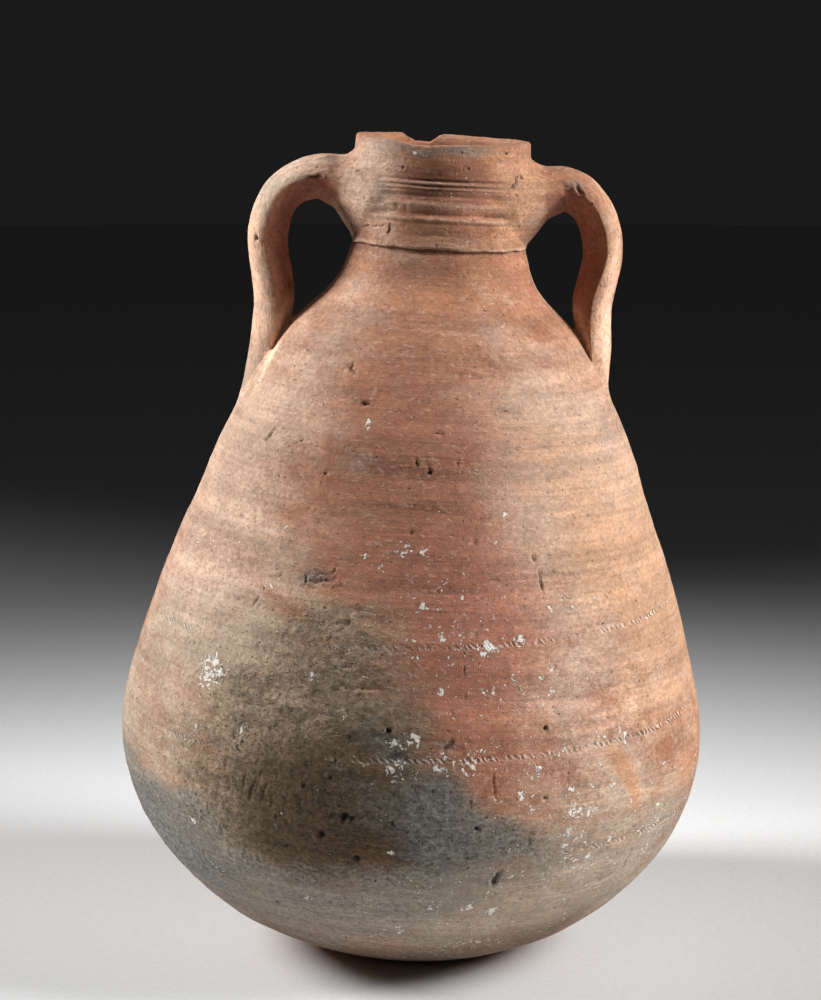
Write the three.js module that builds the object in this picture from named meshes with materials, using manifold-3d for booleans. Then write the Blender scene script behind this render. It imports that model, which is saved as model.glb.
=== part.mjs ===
// Storage jar of unglazed fired clay, luted together from thrown, rolled and pulled pieces.
// Units are millimetres with +Z up. Every piece is made upright about the jar's own axis, and the
// whole jar then leans onto a flat on its round base. The origin is the middle of that flat.
import * as THREE from 'three';
import { mergeVertices } from 'three/addons/utils/BufferGeometryUtils.js';
import Module from 'manifold-3d';

// Stance: the jar leans towards +X and stands on a flat sunk into its round base
const LEAN_DEGREES = 3.2;
const REST_FLAT_DEPTH = 6.5;

// Outside of the body: the radius at each station, and its rise above the station before it
const BASE_EDGE_RADIUS = 113;
const BASE_EDGE_RISE = 26;
const HEEL_RADIUS = 136;
const HEEL_RISE = 20;
const BOWL_SEAM_RADIUS = 162;
const BOWL_SEAM_RISE = 34;
const BELLY_RADIUS = 175;
const BELLY_RISE = 50;
const SHOULDER_SEAM_RADIUS = 156.5;
const SHOULDER_SEAM_RISE = 84;
const FLANK_RADIUS = 131.5;
const FLANK_RISE = 66;
const SHOULDER_RADIUS = 119;
const SHOULDER_RISE = 34;
const CREST_RADIUS = 87;
const CREST_RISE = 57;
const THROAT_RADIUS = 59.5;
const THROAT_RISE = 30;
const NECK_RADIUS = 50;
const NECK_FOOT_RISE = 24;

// Walls and the scarf joints between the rings: each ring laps over the lip of the one below
const BASE_WALL = 11;
const BOWL_WALL = 9.5;
const NECK_WALL = 6.5;
const SCARF_LAP = 9;
const JOINT_GAP = 0.3;

// Neck and rim
const NECK_HEIGHT = 41;
const GROOVE_COUNT = 4;
const GROOVE_PITCH = 6.6;
const GROOVE_WIDTH = 3.2;
const GROOVE_DEPTH = 0.9;
const FIRST_GROOVE_RISE = 15;
const RIM_HEIGHT = 20;
const RIM_SWELL = 2.5;
const LIP_DRAW = 1.2;

// Clay roll round the foot of the neck
const COIL_PROUD = 1.8;
const COIL_HEIGHT = 6.4;

// Chips in the lip, turned from the front (-Y) towards +X
const BACK_CHIP_TURN = 195;
const BACK_CHIP_WIDTH = 30;
const BACK_CHIP_DEPTH = 5;
const FRONT_CHIP_TURN = -17;
const FRONT_CHIP_WIDTH = 17;
const FRONT_CHIP_DEPTH = 2.5;

// Handles: pulled straps that flare onto the neck and feather out on the shoulder.
// Distances out are from the neck's surface, and rises and drops from the foot of the neck.
const HANDLE_THICKNESS = 23.5;
const HANDLE_WIDTH = 32;
const HANDLE_SQUARENESS = 2.2;
const ROOT_RISE = 27;
const ROOT_HEIGHT = 52;
const ROOT_WIDTH = 44;
const ARCH_OUT = 25;
const ARCH_RISE = 34;
const ARCH_THICKNESS = 26;
const ELBOW_RISE = 24;
const ELBOW_INSET = 8;
const REACH_RISE = 1;
const LEFT_REACH = 51;
const LEFT_PINCH_OUT = 45.5;
const LEFT_PINCH_DROP = 41;
const LEFT_TAIL_STAND = 3;
const LEFT_TAIL_DROP = 99;
const RIGHT_REACH = 46.5;
const RIGHT_PINCH_OUT = 42.5;
const RIGHT_PINCH_DROP = 33;
const RIGHT_TAIL_STAND = 6.5;
const RIGHT_TAIL_DROP = 84;
const MID_TAIL_THICKNESS = 18;
const TAIL_THICKNESS = 12;
const TAIL_WIDTH = 30;
const TAIL_SINK = 6;
const TAIL_RUN_OUT = 14;
const TAIL_END_SINK = 12;

// Facets
const TURN_FACETS = 48;
const OUTLINE_STEPS = 36;
const OUTER_FACETS = 3;
const INNER_FACETS = 2;
const FACET_MIN = 2;
const BASE_STEPS = 6;
const RIM_STEPS = 5;
const LIP_STEPS = 4;
const COIL_STEPS = 8;
const STRAP_SIDES = 16;
const STRAP_STEPS = 24;
const CHIP_SIDES = 12;

const wasm = await Module();
wasm.setup();

// Closed geometry to a solid: welded, without the empty triangles that a pole leaves
function toSolid(geometry) {
  geometry.deleteAttribute('normal');
  geometry.deleteAttribute('uv');
  const welded = mergeVertices(geometry);
  const corners = Array.from(welded.index.array);
  const triangles = [];
  for (let i = 0; i < corners.length; i += 3) {
    const [a, b, c] = corners.slice(i, i + 3);
    if (a !== b && b !== c && c !== a) triangles.push(a, b, c);
  }
  const vertProperties = new Float32Array(welded.attributes.position.array);
  const triVerts = new Uint32Array(triangles);
  return new wasm.Manifold(new wasm.Mesh({ numProp: 3, vertProperties, triVerts }));
}

// Solid of revolution about +Z from [radius, height] points, anticlockwise, closed or axis to axis
function revolve(profile) {
  const points = profile.map(([radius, height]) => new THREE.Vector2(radius, height));
  if (points[0].x > 0) points.push(points[0].clone());
  const geometry = new THREE.LatheGeometry(points, TURN_FACETS);
  geometry.rotateX(Math.PI / 2);
  return toSolid(geometry);
}

// Points of an ellipse arc in the profile plane, between two angles in degrees
function arc(radius, height, semiRadial, semiAxial, from, to, steps) {
  const points = [];
  for (let i = 0; i <= steps; i += 1) {
    const angle = THREE.MathUtils.degToRad(THREE.MathUtils.lerp(from, to, i / steps));
    points.push([radius + semiRadial * Math.cos(angle), height + semiAxial * Math.sin(angle)]);
  }
  return points;
}

// Outside of the body as one smooth curve through its stations
const BOWL_SEAM = [BOWL_SEAM_RADIUS, BOWL_SEAM_RISE];
const SHOULDER_SEAM = [SHOULDER_SEAM_RADIUS, SHOULDER_SEAM_RISE];
const STATIONS = [
  [BASE_EDGE_RADIUS, BASE_EDGE_RISE],
  [HEEL_RADIUS, HEEL_RISE],
  BOWL_SEAM,
  [BELLY_RADIUS, BELLY_RISE],
  SHOULDER_SEAM,
  [FLANK_RADIUS, FLANK_RISE],
  [SHOULDER_RADIUS, SHOULDER_RISE],
  [CREST_RADIUS, CREST_RISE],
  [THROAT_RADIUS, THROAT_RISE],
  [NECK_RADIUS, NECK_FOOT_RISE],
];
let climb = 0;
const stationPoints = STATIONS.map(([radius, rise]) => {
  climb += rise;
  return new THREE.Vector3(radius, climb, 0);
});
const NECK_FOOT = climb;
const outline = new THREE.CatmullRomCurve3(stationPoints, false, 'centripetal');
outline.arcLengthDivisions = OUTLINE_STEPS * (STATIONS.length - 1);
const runLengths = outline.getLengths();
const WALL_LENGTH = outline.getLength();
const BOWL_SEAM_RUN = runLengths[STATIONS.indexOf(BOWL_SEAM) * OUTLINE_STEPS];
const SHOULDER_SEAM_RUN = runLengths[STATIONS.indexOf(SHOULDER_SEAM) * OUTLINE_STEPS];

// Point at a run along the outline, moved out from the surface by an offset
function offsetPoint(run, offset) {
  const point = outline.getPointAt(run / WALL_LENGTH);
  const tangent = outline.getTangentAt(run / WALL_LENGTH);
  return [point.x + tangent.y * offset, point.y - tangent.x * offset];
}

const outside = (run) => offsetPoint(run, 0);

// The wall thins evenly from the bowl's foot to the neck
const inside = (run) => offsetPoint(run, -THREE.MathUtils.lerp(BOWL_WALL, NECK_WALL, run / WALL_LENGTH));

// Points between two runs, a few to each span between stations, so that tight curves get short facets
function sample(from, to, facets, pointAt) {
  const low = Math.min(from, to) + FACET_MIN;
  const high = Math.max(from, to) - FACET_MIN;
  const stops = runLengths.filter((_, i) => i % (OUTLINE_STEPS / facets) === 0);
  const between = stops.filter((run) => run > low && run < high);
  if (from > to) between.reverse();
  return [from, ...between, to].map(pointAt);
}

// Radius of the body's outside at a height
function bodyRadiusAt(height) {
  const points = outline.getPoints(outline.arcLengthDivisions);
  return points.find((point) => point.y >= height).x;
}

// Base: a round cap whose inner lip carries the bowl
const CAP_DEPTH = BASE_EDGE_RISE + REST_FLAT_DEPTH;
const CAP_RADIUS = (BASE_EDGE_RADIUS ** 2 + CAP_DEPTH ** 2) / (2 * CAP_DEPTH);
const CAP_CENTRE = CAP_RADIUS - REST_FLAT_DEPTH;
const CAP_ANGLE = THREE.MathUtils.radToDeg(Math.asin(BASE_EDGE_RADIUS / CAP_RADIUS));

// The jar's frame: leaning, with the middle of the base's flat at the origin
const lean = THREE.MathUtils.degToRad(LEAN_DEGREES);
const jar = new THREE.Group();
jar.rotation.y = lean;
jar.position.set(-CAP_CENTRE * Math.sin(lean), 0, CAP_CENTRE * (1 - Math.cos(lean)));
jar.updateMatrix();

function baseDisc() {
  const innerRadius = CAP_RADIUS - BASE_WALL;
  const outer = arc(0, CAP_CENTRE, CAP_RADIUS, CAP_RADIUS, -90, -90 + CAP_ANGLE, BASE_STEPS);
  const inner = arc(0, CAP_CENTRE, innerRadius, innerRadius, -90 + CAP_ANGLE, -90, BASE_STEPS);
  outer[0][0] = 0;
  inner[BASE_STEPS][0] = 0;
  const cap = revolve([...outer, inside(SCARF_LAP), ...inner]);
  const ground = new THREE.BoxGeometry(2 * BELLY_RADIUS, 2 * BELLY_RADIUS, BELLY_RADIUS);
  ground.translate(0, 0, -BELLY_RADIUS / 2);
  ground.applyMatrix4(jar.matrix.clone().invert());
  return cap.subtract(toSolid(ground));
}

// One ring of the wall between two seams, scarfed at both edges
function wallRing(startRun, endRun) {
  const outer = sample(startRun + JOINT_GAP, endRun, OUTER_FACETS, outside);
  const inner = sample(endRun + SCARF_LAP, startRun + SCARF_LAP + JOINT_GAP, INNER_FACETS, inside);
  return revolve([...outer, ...inner]);
}

const NECK_BORE = NECK_RADIUS - NECK_WALL;

// Clay roll of oval section, centred on the seam round the foot of the neck
function seamCoil(clearance) {
  const semiRadial = COIL_PROUD + clearance;
  const semiAxial = COIL_HEIGHT / 2 + clearance;
  const oval = arc(NECK_RADIUS, NECK_FOOT, semiRadial, semiAxial, -180, 180, COIL_STEPS);
  return revolve(oval.slice(0, COIL_STEPS));
}

function shoulderWall() {
  const outer = sample(SHOULDER_SEAM_RUN + JOINT_GAP, WALL_LENGTH, OUTER_FACETS, outside);
  const lip = [NECK_BORE, NECK_FOOT + SCARF_LAP];
  const inner = sample(WALL_LENGTH, SHOULDER_SEAM_RUN + SCARF_LAP + JOINT_GAP, INNER_FACETS, inside);
  return revolve([...outer, lip, ...inner]).subtract(seamCoil(JOINT_GAP));
}

// Outside of the neck from its foot to the lip, with the turned grooves and the swelling rim
const RIM_FOOT = NECK_FOOT + NECK_HEIGHT;
const RIM_TOP = RIM_FOOT + RIM_HEIGHT;
const LIP_RADIUS = NECK_RADIUS - LIP_DRAW;
const LIP_HALF = (LIP_RADIUS - NECK_BORE) / 2;

function neckOutside(clearance) {
  const skin = NECK_RADIUS + clearance;
  const points = [];
  for (let i = 0; i < GROOVE_COUNT; i += 1) {
    const middle = NECK_FOOT + FIRST_GROOVE_RISE + i * GROOVE_PITCH;
    points.push([skin, middle - GROOVE_WIDTH / 2]);
    points.push([skin - GROOVE_DEPTH, middle]);
    points.push([skin, middle + GROOVE_WIDTH / 2]);
  }
  const rim = new THREE.QuadraticBezierCurve(
    new THREE.Vector2(skin, RIM_FOOT),
    new THREE.Vector2(skin + 2 * RIM_SWELL + LIP_DRAW / 2, RIM_FOOT + RIM_HEIGHT / 2),
    new THREE.Vector2(LIP_RADIUS + clearance, RIM_TOP - LIP_HALF),
  );
  return [...points, ...rim.getPoints(RIM_STEPS).map((point) => [point.x, point.y])];
}

// A chip is a scalloped bite out of the lip, right through it
function chip(turn, width, depth) {
  const bite = new THREE.SphereGeometry(1, CHIP_SIDES, CHIP_SIDES);
  bite.scale(width / 2, 2 * NECK_WALL, depth);
  bite.translate(0, -LIP_RADIUS, RIM_TOP);
  bite.rotateZ(THREE.MathUtils.degToRad(turn));
  return toSolid(bite);
}

function neckCollar() {
  const lip = arc(NECK_BORE + LIP_HALF, RIM_TOP - LIP_HALF, LIP_HALF, LIP_HALF, 0, 180, LIP_STEPS);
  const collar = revolve([
    [NECK_RADIUS, NECK_FOOT + JOINT_GAP],
    ...neckOutside(0),
    ...lip.slice(1),
    [NECK_BORE, NECK_FOOT + SCARF_LAP + JOINT_GAP],
  ]);
  return collar
    .subtract(seamCoil(JOINT_GAP))
    .subtract(chip(BACK_CHIP_TURN, BACK_CHIP_WIDTH, BACK_CHIP_DEPTH))
    .subtract(chip(FRONT_CHIP_TURN, FRONT_CHIP_WIDTH, FRONT_CHIP_DEPTH));
}

// Filled body and neck, a joint gap larger than the real ones, which trims the handles to their seats
function handleSeat() {
  const wall = sample(0, WALL_LENGTH, OUTER_FACETS, (run) => offsetPoint(run, JOINT_GAP));
  const core = revolve([
    [0, wall[0][1]],
    ...wall,
    ...neckOutside(JOINT_GAP),
    [0, RIM_TOP],
  ]);
  return core.add(seamCoil(JOINT_GAP));
}

// Stations of a handle from root to tail, each as the strap's middle and its section there
function handleStations({ reach, pinchOut, pinchDrop, tailStand, tailDrop }) {
  const strap = { thick: HANDLE_THICKNESS, wide: HANDLE_WIDTH };
  const tail = { thick: TAIL_THICKNESS, wide: TAIL_WIDTH };
  const midDrop = (pinchDrop + tailDrop) / 2;
  const endDrop = tailDrop + TAIL_RUN_OUT;
  const bodyOut = (drop) => bodyRadiusAt(NECK_FOOT - drop) - NECK_RADIUS;
  return [
    { out: -NECK_WALL, rise: ROOT_RISE, thick: ROOT_HEIGHT, wide: ROOT_WIDTH },
    { out: ARCH_OUT, rise: ARCH_RISE, thick: ARCH_THICKNESS, wide: HANDLE_WIDTH },
    { out: reach - ELBOW_INSET, rise: ELBOW_RISE, ...strap },
    { out: reach, rise: REACH_RISE, ...strap },
    { out: pinchOut, rise: -pinchDrop, ...strap },
    { out: bodyOut(midDrop) + tailStand, rise: -midDrop, thick: MID_TAIL_THICKNESS, wide: HANDLE_WIDTH },
    { out: bodyOut(tailDrop) - TAIL_SINK, rise: -tailDrop, ...tail },
    { out: bodyOut(endDrop) - TAIL_END_SINK, rise: -endDrop, ...tail },
  ];
}

// Loft of rounded-rectangle sections along the stations, on the side given by the sign of X
function strap(side, stations) {
  const middles = stations.map(({ out, rise }) => new THREE.Vector3(NECK_RADIUS + out, 0, NECK_FOOT + rise));
  const sizes = stations.map(({ thick, wide }) => new THREE.Vector3(thick / 2, wide / 2, 0));
  const path = new THREE.CatmullRomCurve3(middles, false, 'centripetal');
  const section = new THREE.CatmullRomCurve3(sizes, false, 'centripetal');
  const rounded = (value) => Math.sign(value) * Math.abs(value) ** (2 / HANDLE_SQUARENESS);
  const positions = [];
  for (let ring = 0; ring <= STRAP_STEPS; ring += 1) {
    const middle = path.getPoint(ring / STRAP_STEPS);
    const tangent = path.getTangent(ring / STRAP_STEPS);
    const size = section.getPoint(ring / STRAP_STEPS);
    for (let i = 0; i < STRAP_SIDES; i += 1) {
      const angle = (2 * Math.PI * i) / STRAP_SIDES;
      const across = size.x * rounded(Math.cos(angle));
      const x = middle.x - tangent.z * across;
      const z = middle.z + tangent.x * across;
      positions.push(side * x, side * size.y * rounded(Math.sin(angle)), z);
    }
  }
  const first = path.getPoint(0);
  const last = path.getPoint(1);
  positions.push(side * first.x, 0, first.z, side * last.x, 0, last.z);
  const geometry = new THREE.BufferGeometry();
  geometry.setAttribute('position', new THREE.Float32BufferAttribute(positions, 3));
  geometry.setIndex(strapFaces());
  return toSolid(geometry);
}

// Triangles of the loft's skin, with a fan over each end
function strapFaces() {
  const faces = [];
  const firstEnd = STRAP_SIDES * (STRAP_STEPS + 1);
  const lastRing = STRAP_SIDES * STRAP_STEPS;
  for (let i = 0; i < STRAP_SIDES; i += 1) {
    const next = (i + 1) % STRAP_SIDES;
    for (let ring = 0; ring < STRAP_STEPS; ring += 1) {
      const low = ring * STRAP_SIDES;
      const high = low + STRAP_SIDES;
      faces.push(low + i, high + i, high + next, low + i, high + next, low + next);
    }
    faces.push(firstEnd, i, next);
    faces.push(firstEnd + 1, lastRing + next, lastRing + i);
  }
  return faces;
}

function addPiece(name, solid, color, roughness) {
  const { vertProperties, triVerts } = solid.getMesh();
  const geometry = new THREE.BufferGeometry();
  geometry.setAttribute('position', new THREE.BufferAttribute(vertProperties, 3));
  geometry.setIndex(new THREE.BufferAttribute(triVerts, 1));
  geometry.computeVertexNormals();
  const material = new THREE.MeshStandardMaterial({ color, roughness, metalness: 0 });
  const mesh = new THREE.Mesh(geometry, material);
  mesh.name = name;
  jar.add(mesh);
}

const seat = handleSeat();
const leftStations = handleStations({
  reach: LEFT_REACH,
  pinchOut: LEFT_PINCH_OUT,
  pinchDrop: LEFT_PINCH_DROP,
  tailStand: LEFT_TAIL_STAND,
  tailDrop: LEFT_TAIL_DROP,
});
const rightStations = handleStations({
  reach: RIGHT_REACH,
  pinchOut: RIGHT_PINCH_OUT,
  pinchDrop: RIGHT_PINCH_DROP,
  tailStand: RIGHT_TAIL_STAND,
  tailDrop: RIGHT_TAIL_DROP,
});

addPiece('base_disc', baseDisc(), 0x6f5a48, 0.95);
addPiece('base_bowl', wallRing(0, BOWL_SEAM_RUN), 0x7a6049, 0.95);
addPiece('belly_wall', wallRing(BOWL_SEAM_RUN, SHOULDER_SEAM_RUN), 0x9c6450, 0.95);
addPiece('shoulder_wall', shoulderWall(), 0xb47c62, 0.95);
addPiece('neck_collar', neckCollar(), 0xb98069, 0.95);
addPiece('neck_seam_coil', seamCoil(0), 0xa8735c, 0.95);
addPiece('handle_left', strap(-1, leftStations).subtract(seat), 0xb87d62, 0.95);
addPiece('handle_right', strap(1, rightStations).subtract(seat), 0xb5745a, 0.95);

export default jar;
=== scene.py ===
"""Looks of a two-handled storage jar of unglazed fired clay.

The jar is drawn in its own frame, in millimetres, upright about the wheel's axis, and then leant
onto its rest flat as the CAD is. A turn is an angle from the front (-Y) towards +X.
"""

import bpy
import numpy as np
from mathutils import Matrix, Vector


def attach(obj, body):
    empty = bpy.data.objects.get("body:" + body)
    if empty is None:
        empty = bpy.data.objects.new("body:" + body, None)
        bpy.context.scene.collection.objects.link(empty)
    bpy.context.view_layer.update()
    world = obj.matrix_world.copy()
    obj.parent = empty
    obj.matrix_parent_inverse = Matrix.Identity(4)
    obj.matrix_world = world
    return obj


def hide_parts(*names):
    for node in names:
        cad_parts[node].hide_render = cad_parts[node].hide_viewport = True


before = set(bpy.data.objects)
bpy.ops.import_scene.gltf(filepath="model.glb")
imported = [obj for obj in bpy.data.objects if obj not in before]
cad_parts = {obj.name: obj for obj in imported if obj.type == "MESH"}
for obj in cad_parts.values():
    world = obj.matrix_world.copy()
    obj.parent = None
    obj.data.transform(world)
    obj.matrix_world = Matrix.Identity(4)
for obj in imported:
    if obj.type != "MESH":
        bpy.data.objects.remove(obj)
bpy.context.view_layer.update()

MM = 0.001

# Stance and outside of the body, as in the CAD: radius and height of each station
LEAN = np.radians(3.2)
REST_FLAT_DEPTH = 6.5
BASE_EDGE = (113, 26)
BOWL_SEAM = (162, 80)
SHOULDER_SEAM = (156.5, 214)
NECK_FOOT = (50, 425)
STATIONS = [
    BASE_EDGE, (136, 46), BOWL_SEAM, (175, 130), SHOULDER_SEAM,
    (131.5, 280), (119, 314), (87, 371), (59.5, 401), NECK_FOOT,
]
BASE_WALL = 11
BOWL_WALL = 9.5
NECK_WALL = 6.5
SCARF_LAP = 9

# Neck, rim and the clay roll at the neck's foot
NECK_RADIUS, NECK_BOTTOM = NECK_FOOT
NECK_BORE = NECK_RADIUS - NECK_WALL
RIM_FOOT = NECK_BOTTOM + 41
RIM_TOP = RIM_FOOT + 20
RIM_SWELL = 1.2
RIM_OFFSET = -1.0
LIP_RADIUS = NECK_RADIUS + 1.2
LIP_ROUND = 1.7
LIP_FALL = 2.6
LIP_WRAP = np.radians(115)
LIP_BEVEL = (0.9, 1.4)
LEDGE_PROUD = 2.9
LEDGE_DROP = 1.4
LEDGE_FEATHER = 7.5
LEDGE_UNDERCUT = (2.8, 1.1, 1.9)
LEDGE_SINK, LEDGE_BACK = 0.35, 1.6

# Turned grooves of the neck and the ridges between them: rise above its foot, height and half width
NECK_GROOVES = [
    (13.2, -0.5, 0.8), (18.6, -1.1, 1.4), (26.6, -0.4, 0.7), (29.0, -1.3, 1.7),
    (32.2, -0.5, 0.7), (34.8, -0.9, 0.7), (37.9, -1.5, 0.9),
    (15.8, 0.8, 1.2), (23.8, 0.8, 1.8), (33.5, 0.6, 0.8), (36.3, 0.9, 0.8),
]

# The notch broken out of the lip: turn in degrees, half width at its top and floor, and depth
LIP_NOTCH = (195, 19, 5, 5.4)
LIP_MARGIN = 3
# Where the lip is worn down: turn and half width in degrees, and depth
LIP_WEAR = [(-17, 20, 3.0), (20, 26, 1.3), (-62, 16, 0.6)]

# Handles: distance out from the neck, rise from its foot, thickness and width at each station.
# The last three stations stand on the shoulder, and are given by how far off it they are.
# A crease parts the round outer face from the inner one, at a share of the half thickness out
# from the middle.
LEFT_STRAP = dict(reach=51, pinch=(45.5, -41), stand=3, drop=99)
RIGHT_STRAP = dict(reach=46.5, pinch=(42.5, -33), stand=6.5, drop=84)
STRAP = (23.5, 32)
STRAP_ROOT = (-6.5, 27, 52, 56)
STRAP_FLARE = (10, 32.5, 31, 41)
STRAP_ARCH = (25, 34, 26, 32)
ELBOW_INSET, ELBOW_RISE, REACH_RISE = 8, 24, 1
MID_TAIL = (18, 32)
TAIL = (12, 30)
TAIL_SINK, TAIL_RUN_OUT, TAIL_END_SINK = 6, 14, 12
CREASES = [0.0, 0.05, 0.1, 0.15, 0.15, -0.12, -0.42, -0.5, -0.5]
OUTER_ROUND = 1.75
INNER_ROUND = 1.22
# Where to look for a handle: how far off it, and how low; and half a station's length along it
STRAP_FAR = 60.0
STRAP_BOTTOM = 290
STATION_HALF = 1.5
# How far the clay is smeared where a handle joins the body: height and reach
LUTING = [(385, 3.5), (428, 6), (438, 15), (446, 24), (458, 24), (468, 15), (477, 7)]
LUTED_WITHIN = 29
SMEARED = (5, 18)
# Where each form tucks under the other past their meeting line
BODY_TUCK = (1.4, 3.0)
STRAP_TUCK = (-1.6, 0.6)
TUCK_DEPTH = 0.4
# Search for the luted skin: rounds and stride; and where its rise fades out beyond the luting's
# reach, past the meeting line and up the rim
LUTE_ROUNDS, LUTE_STRIDE = 12, 0.8
REACH_FADE = (-1, 3)
PAST_FADE = (2, 8)
RIM_FADE = (RIM_FOOT + 10, RIM_FOOT + 17)

# Cord pressed into the wet clay: one helix up the belly, seen three times on the front
CORD_FRONT_HEIGHT = 155.0
CORD_PITCH = 59.5
CORD_FIRST_TURN = -328
CORD_LAST_TURN = 452
CORD_WIDTH = 1.7
CORD_DEPTH = 0.55
DASH_PITCH = 3.7

# The photograph's camera: frame in pixels, focal length in pixels, and the point at its middle
PHOTO_WIDTH, PHOTO_HEIGHT = 821, 1000
FOCAL_PIXELS = 2700
LOOK_AT = np.array([-4.83, 0.0, 269.8])
CAMERA_DISTANCE = 1620
CAMERA_PITCH = np.radians(10)
SENSOR_MM = 36
# Search along the camera's rays: rounds, stride, longest stride and where it starts
RAY_ROUNDS, RAY_STRIDE, RAY_LONGEST = 120, 0.6, 40
RAY_START = CAMERA_DISTANCE - 300.0

# Facets: columns round the jar and row spacing
FINE_COLUMNS = 1440
COLUMNS = 720
INSIDE_COLUMNS = 180
FINE_ROW = 1.15
ROW = 1.3
NECK_ROW = 0.5
INSIDE_ROW = 5.0
FINE_TOP = 252
POLE_COLUMNS = 45
LEAST_FACET = 0.9
LEDGE_ROWS, LEDGE_BACK_ROWS = 26, 8
OUTLINE_STEP = 0.5
OUTLINE_EASE = 16


# Repeatable smooth noise

EDGES = np.array([
    (1, 1, 0), (-1, 1, 0), (1, -1, 0), (-1, -1, 0), (1, 0, 1), (-1, 0, 1),
    (1, 0, -1), (-1, 0, -1), (0, 1, 1), (0, -1, 1), (0, 1, -1), (0, -1, -1),
], np.float32).T


def lattice_edge(across, back, up, seed):
    """One of the twelve edge directions for each lattice cell, the same on every run."""
    mixed = across * 374761393 + back * 668265263 + up * 1274126177 + seed * 97463477
    mixed = (mixed ^ (mixed >> 13)) & 0x7FFFFFFF
    mixed = (mixed * 1103515245 + 12345) & 0x7FFFFFFF
    return (mixed >> 15) % 12


def noise(points, wavelength, seed):
    """Gradient noise from about -1 to 1, varying over one wavelength."""
    scaled = points.T / wavelength + seed * 17.31
    cell = np.floor(scaled).astype(np.int64)
    part = (scaled - cell).astype(np.float32)
    fade = part * part * part * (part * (part * 6 - 15) + 10)
    total = np.zeros(len(points), np.float32)
    for corner in np.ndindex(2, 2, 2):
        edge = lattice_edge(*(cell[k] + corner[k] for k in range(3)), seed)
        slope = sum(EDGES[k][edge] * (part[k] - corner[k]) for k in range(3))
        for k in range(3):
            slope *= fade[k] if corner[k] else 1 - fade[k]
        total += slope
    return total


def fractal(points, wavelength, seed, octaves=3):
    """Noise with finer noise on it, each octave half as long and half as high."""
    return sum(noise(points, wavelength / 2 ** k, seed + k) / 2 ** k for k in range(octaves))


def wheel_noise(points, wavelength, seed, drag=0.05):
    """Noise drawn out round the wheel's axis into long rings."""
    return noise(points * (drag, drag, 1), wavelength, seed)


def smooth_step(value, low, high):
    share = np.clip((value - low) / (high - low), 0, 1)
    return share * share * (3 - 2 * share)


# Smooth form of the body

def catmull_rom(stations, steps):
    """Centripetal spline through the stations, with as many points to each span as steps."""
    stations = np.array(stations, float)
    ends = 2 * stations[[0, -1]] - stations[[1, -2]]
    knots = np.vstack([ends[:1], stations, ends[1:]])
    share = np.arange(steps)[:, None] / steps
    spans = []
    for a, b, c, d in zip(knots, knots[1:], knots[2:], knots[3:]):
        before, span, after = (np.sqrt(np.linalg.norm(v)) for v in (b - a, c - b, d - c))
        span = span or 1.0
        before, after = before or span, after or span
        leave = span * ((b - a) / before - (c - a) / (before + span) + (c - b) / span)
        arrive = span * ((c - b) / span - (d - b) / (span + after) + (d - c) / after)
        cubic = 2 * b - 2 * c + leave + arrive
        square = 3 * c - 3 * b - 2 * leave - arrive
        spans.append(b + leave * share + square * share ** 2 + cubic * share ** 3)
    return np.vstack([*spans, stations[-1:]])


def runs_along(points):
    """Distance along a line of points, from its start to each point."""
    return np.concatenate([[0], np.cumsum(np.linalg.norm(np.diff(points, axis=0), axis=1))])


def evenly(points, spacing):
    """The same line with points at an even spacing."""
    runs = runs_along(points)
    wanted = np.linspace(0, runs[-1], max(2, int(round(runs[-1] / spacing)) + 1))
    return np.column_stack([np.interp(wanted, runs, points[:, k]) for k in range(points.shape[1])])


def eased(points, reach):
    """The same even line with its corners eased, and its ends kept."""
    window = np.hanning(2 * reach + 1)
    before = 2 * points[0] - points[reach:0:-1]
    after = 2 * points[-1] - points[-2:-reach - 2:-1]
    padded = np.vstack([before, points, after])
    columns = [np.convolve(padded[:, k], window / window.sum(), "valid") for k in range(2)]
    return np.column_stack(columns)


CAP_DEPTH = BASE_EDGE[1] + REST_FLAT_DEPTH
CAP_RADIUS = (BASE_EDGE[0] ** 2 + CAP_DEPTH ** 2) / (2 * CAP_DEPTH)
CAP_CENTRE = CAP_RADIUS - REST_FLAT_DEPTH


def body_outline():
    """Outside of the body from the base's middle to the neck's foot, as [radius, height] points."""
    swing = np.linspace(0, np.arcsin(BASE_EDGE[0] / CAP_RADIUS), 60)[:-1]
    cap = np.column_stack([CAP_RADIUS * np.sin(swing), CAP_CENTRE - CAP_RADIUS * np.cos(swing)])
    line = np.vstack([cap, catmull_rom(STATIONS, 40)])
    return eased(evenly(line, OUTLINE_STEP), OUTLINE_EASE)


BODY = body_outline()
BODY_RUN = runs_along(BODY)
BODY_SLOPE = np.gradient(BODY, BODY_RUN, axis=0)
BASE_EDGE_RUN, BOWL_SEAM_RUN, SHOULDER_SEAM_RUN, FINE_TOP_RUN = np.interp(
    [BASE_EDGE[1], BOWL_SEAM[1], SHOULDER_SEAM[1], FINE_TOP], BODY[:, 1], BODY_RUN)
WALL_TOP_RUN = BODY_RUN[-1]


def along_body(runs, depth=0.0):
    """Points and outward normals at runs along the outside, sunk into the wall by a depth."""
    runs = np.asarray(runs, float)
    points = np.column_stack([np.interp(runs, BODY_RUN, BODY[:, k]) for k in (0, 1)])
    slopes = np.column_stack([np.interp(runs, BODY_RUN, BODY_SLOPE[:, k]) for k in (0, 1)])
    normals = np.column_stack([slopes[:, 1], -slopes[:, 0]])
    normals /= np.linalg.norm(normals, axis=1)[:, None]
    return points - normals * np.reshape(depth, (-1, 1)), normals


def wall_at(runs):
    """Thickness of the wall, from the base up to the neck."""
    return np.interp(runs, [0, BASE_EDGE_RUN, BASE_EDGE_RUN + SCARF_LAP, WALL_TOP_RUN],
                     [BASE_WALL, BASE_WALL, BOWL_WALL, NECK_WALL])


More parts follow.
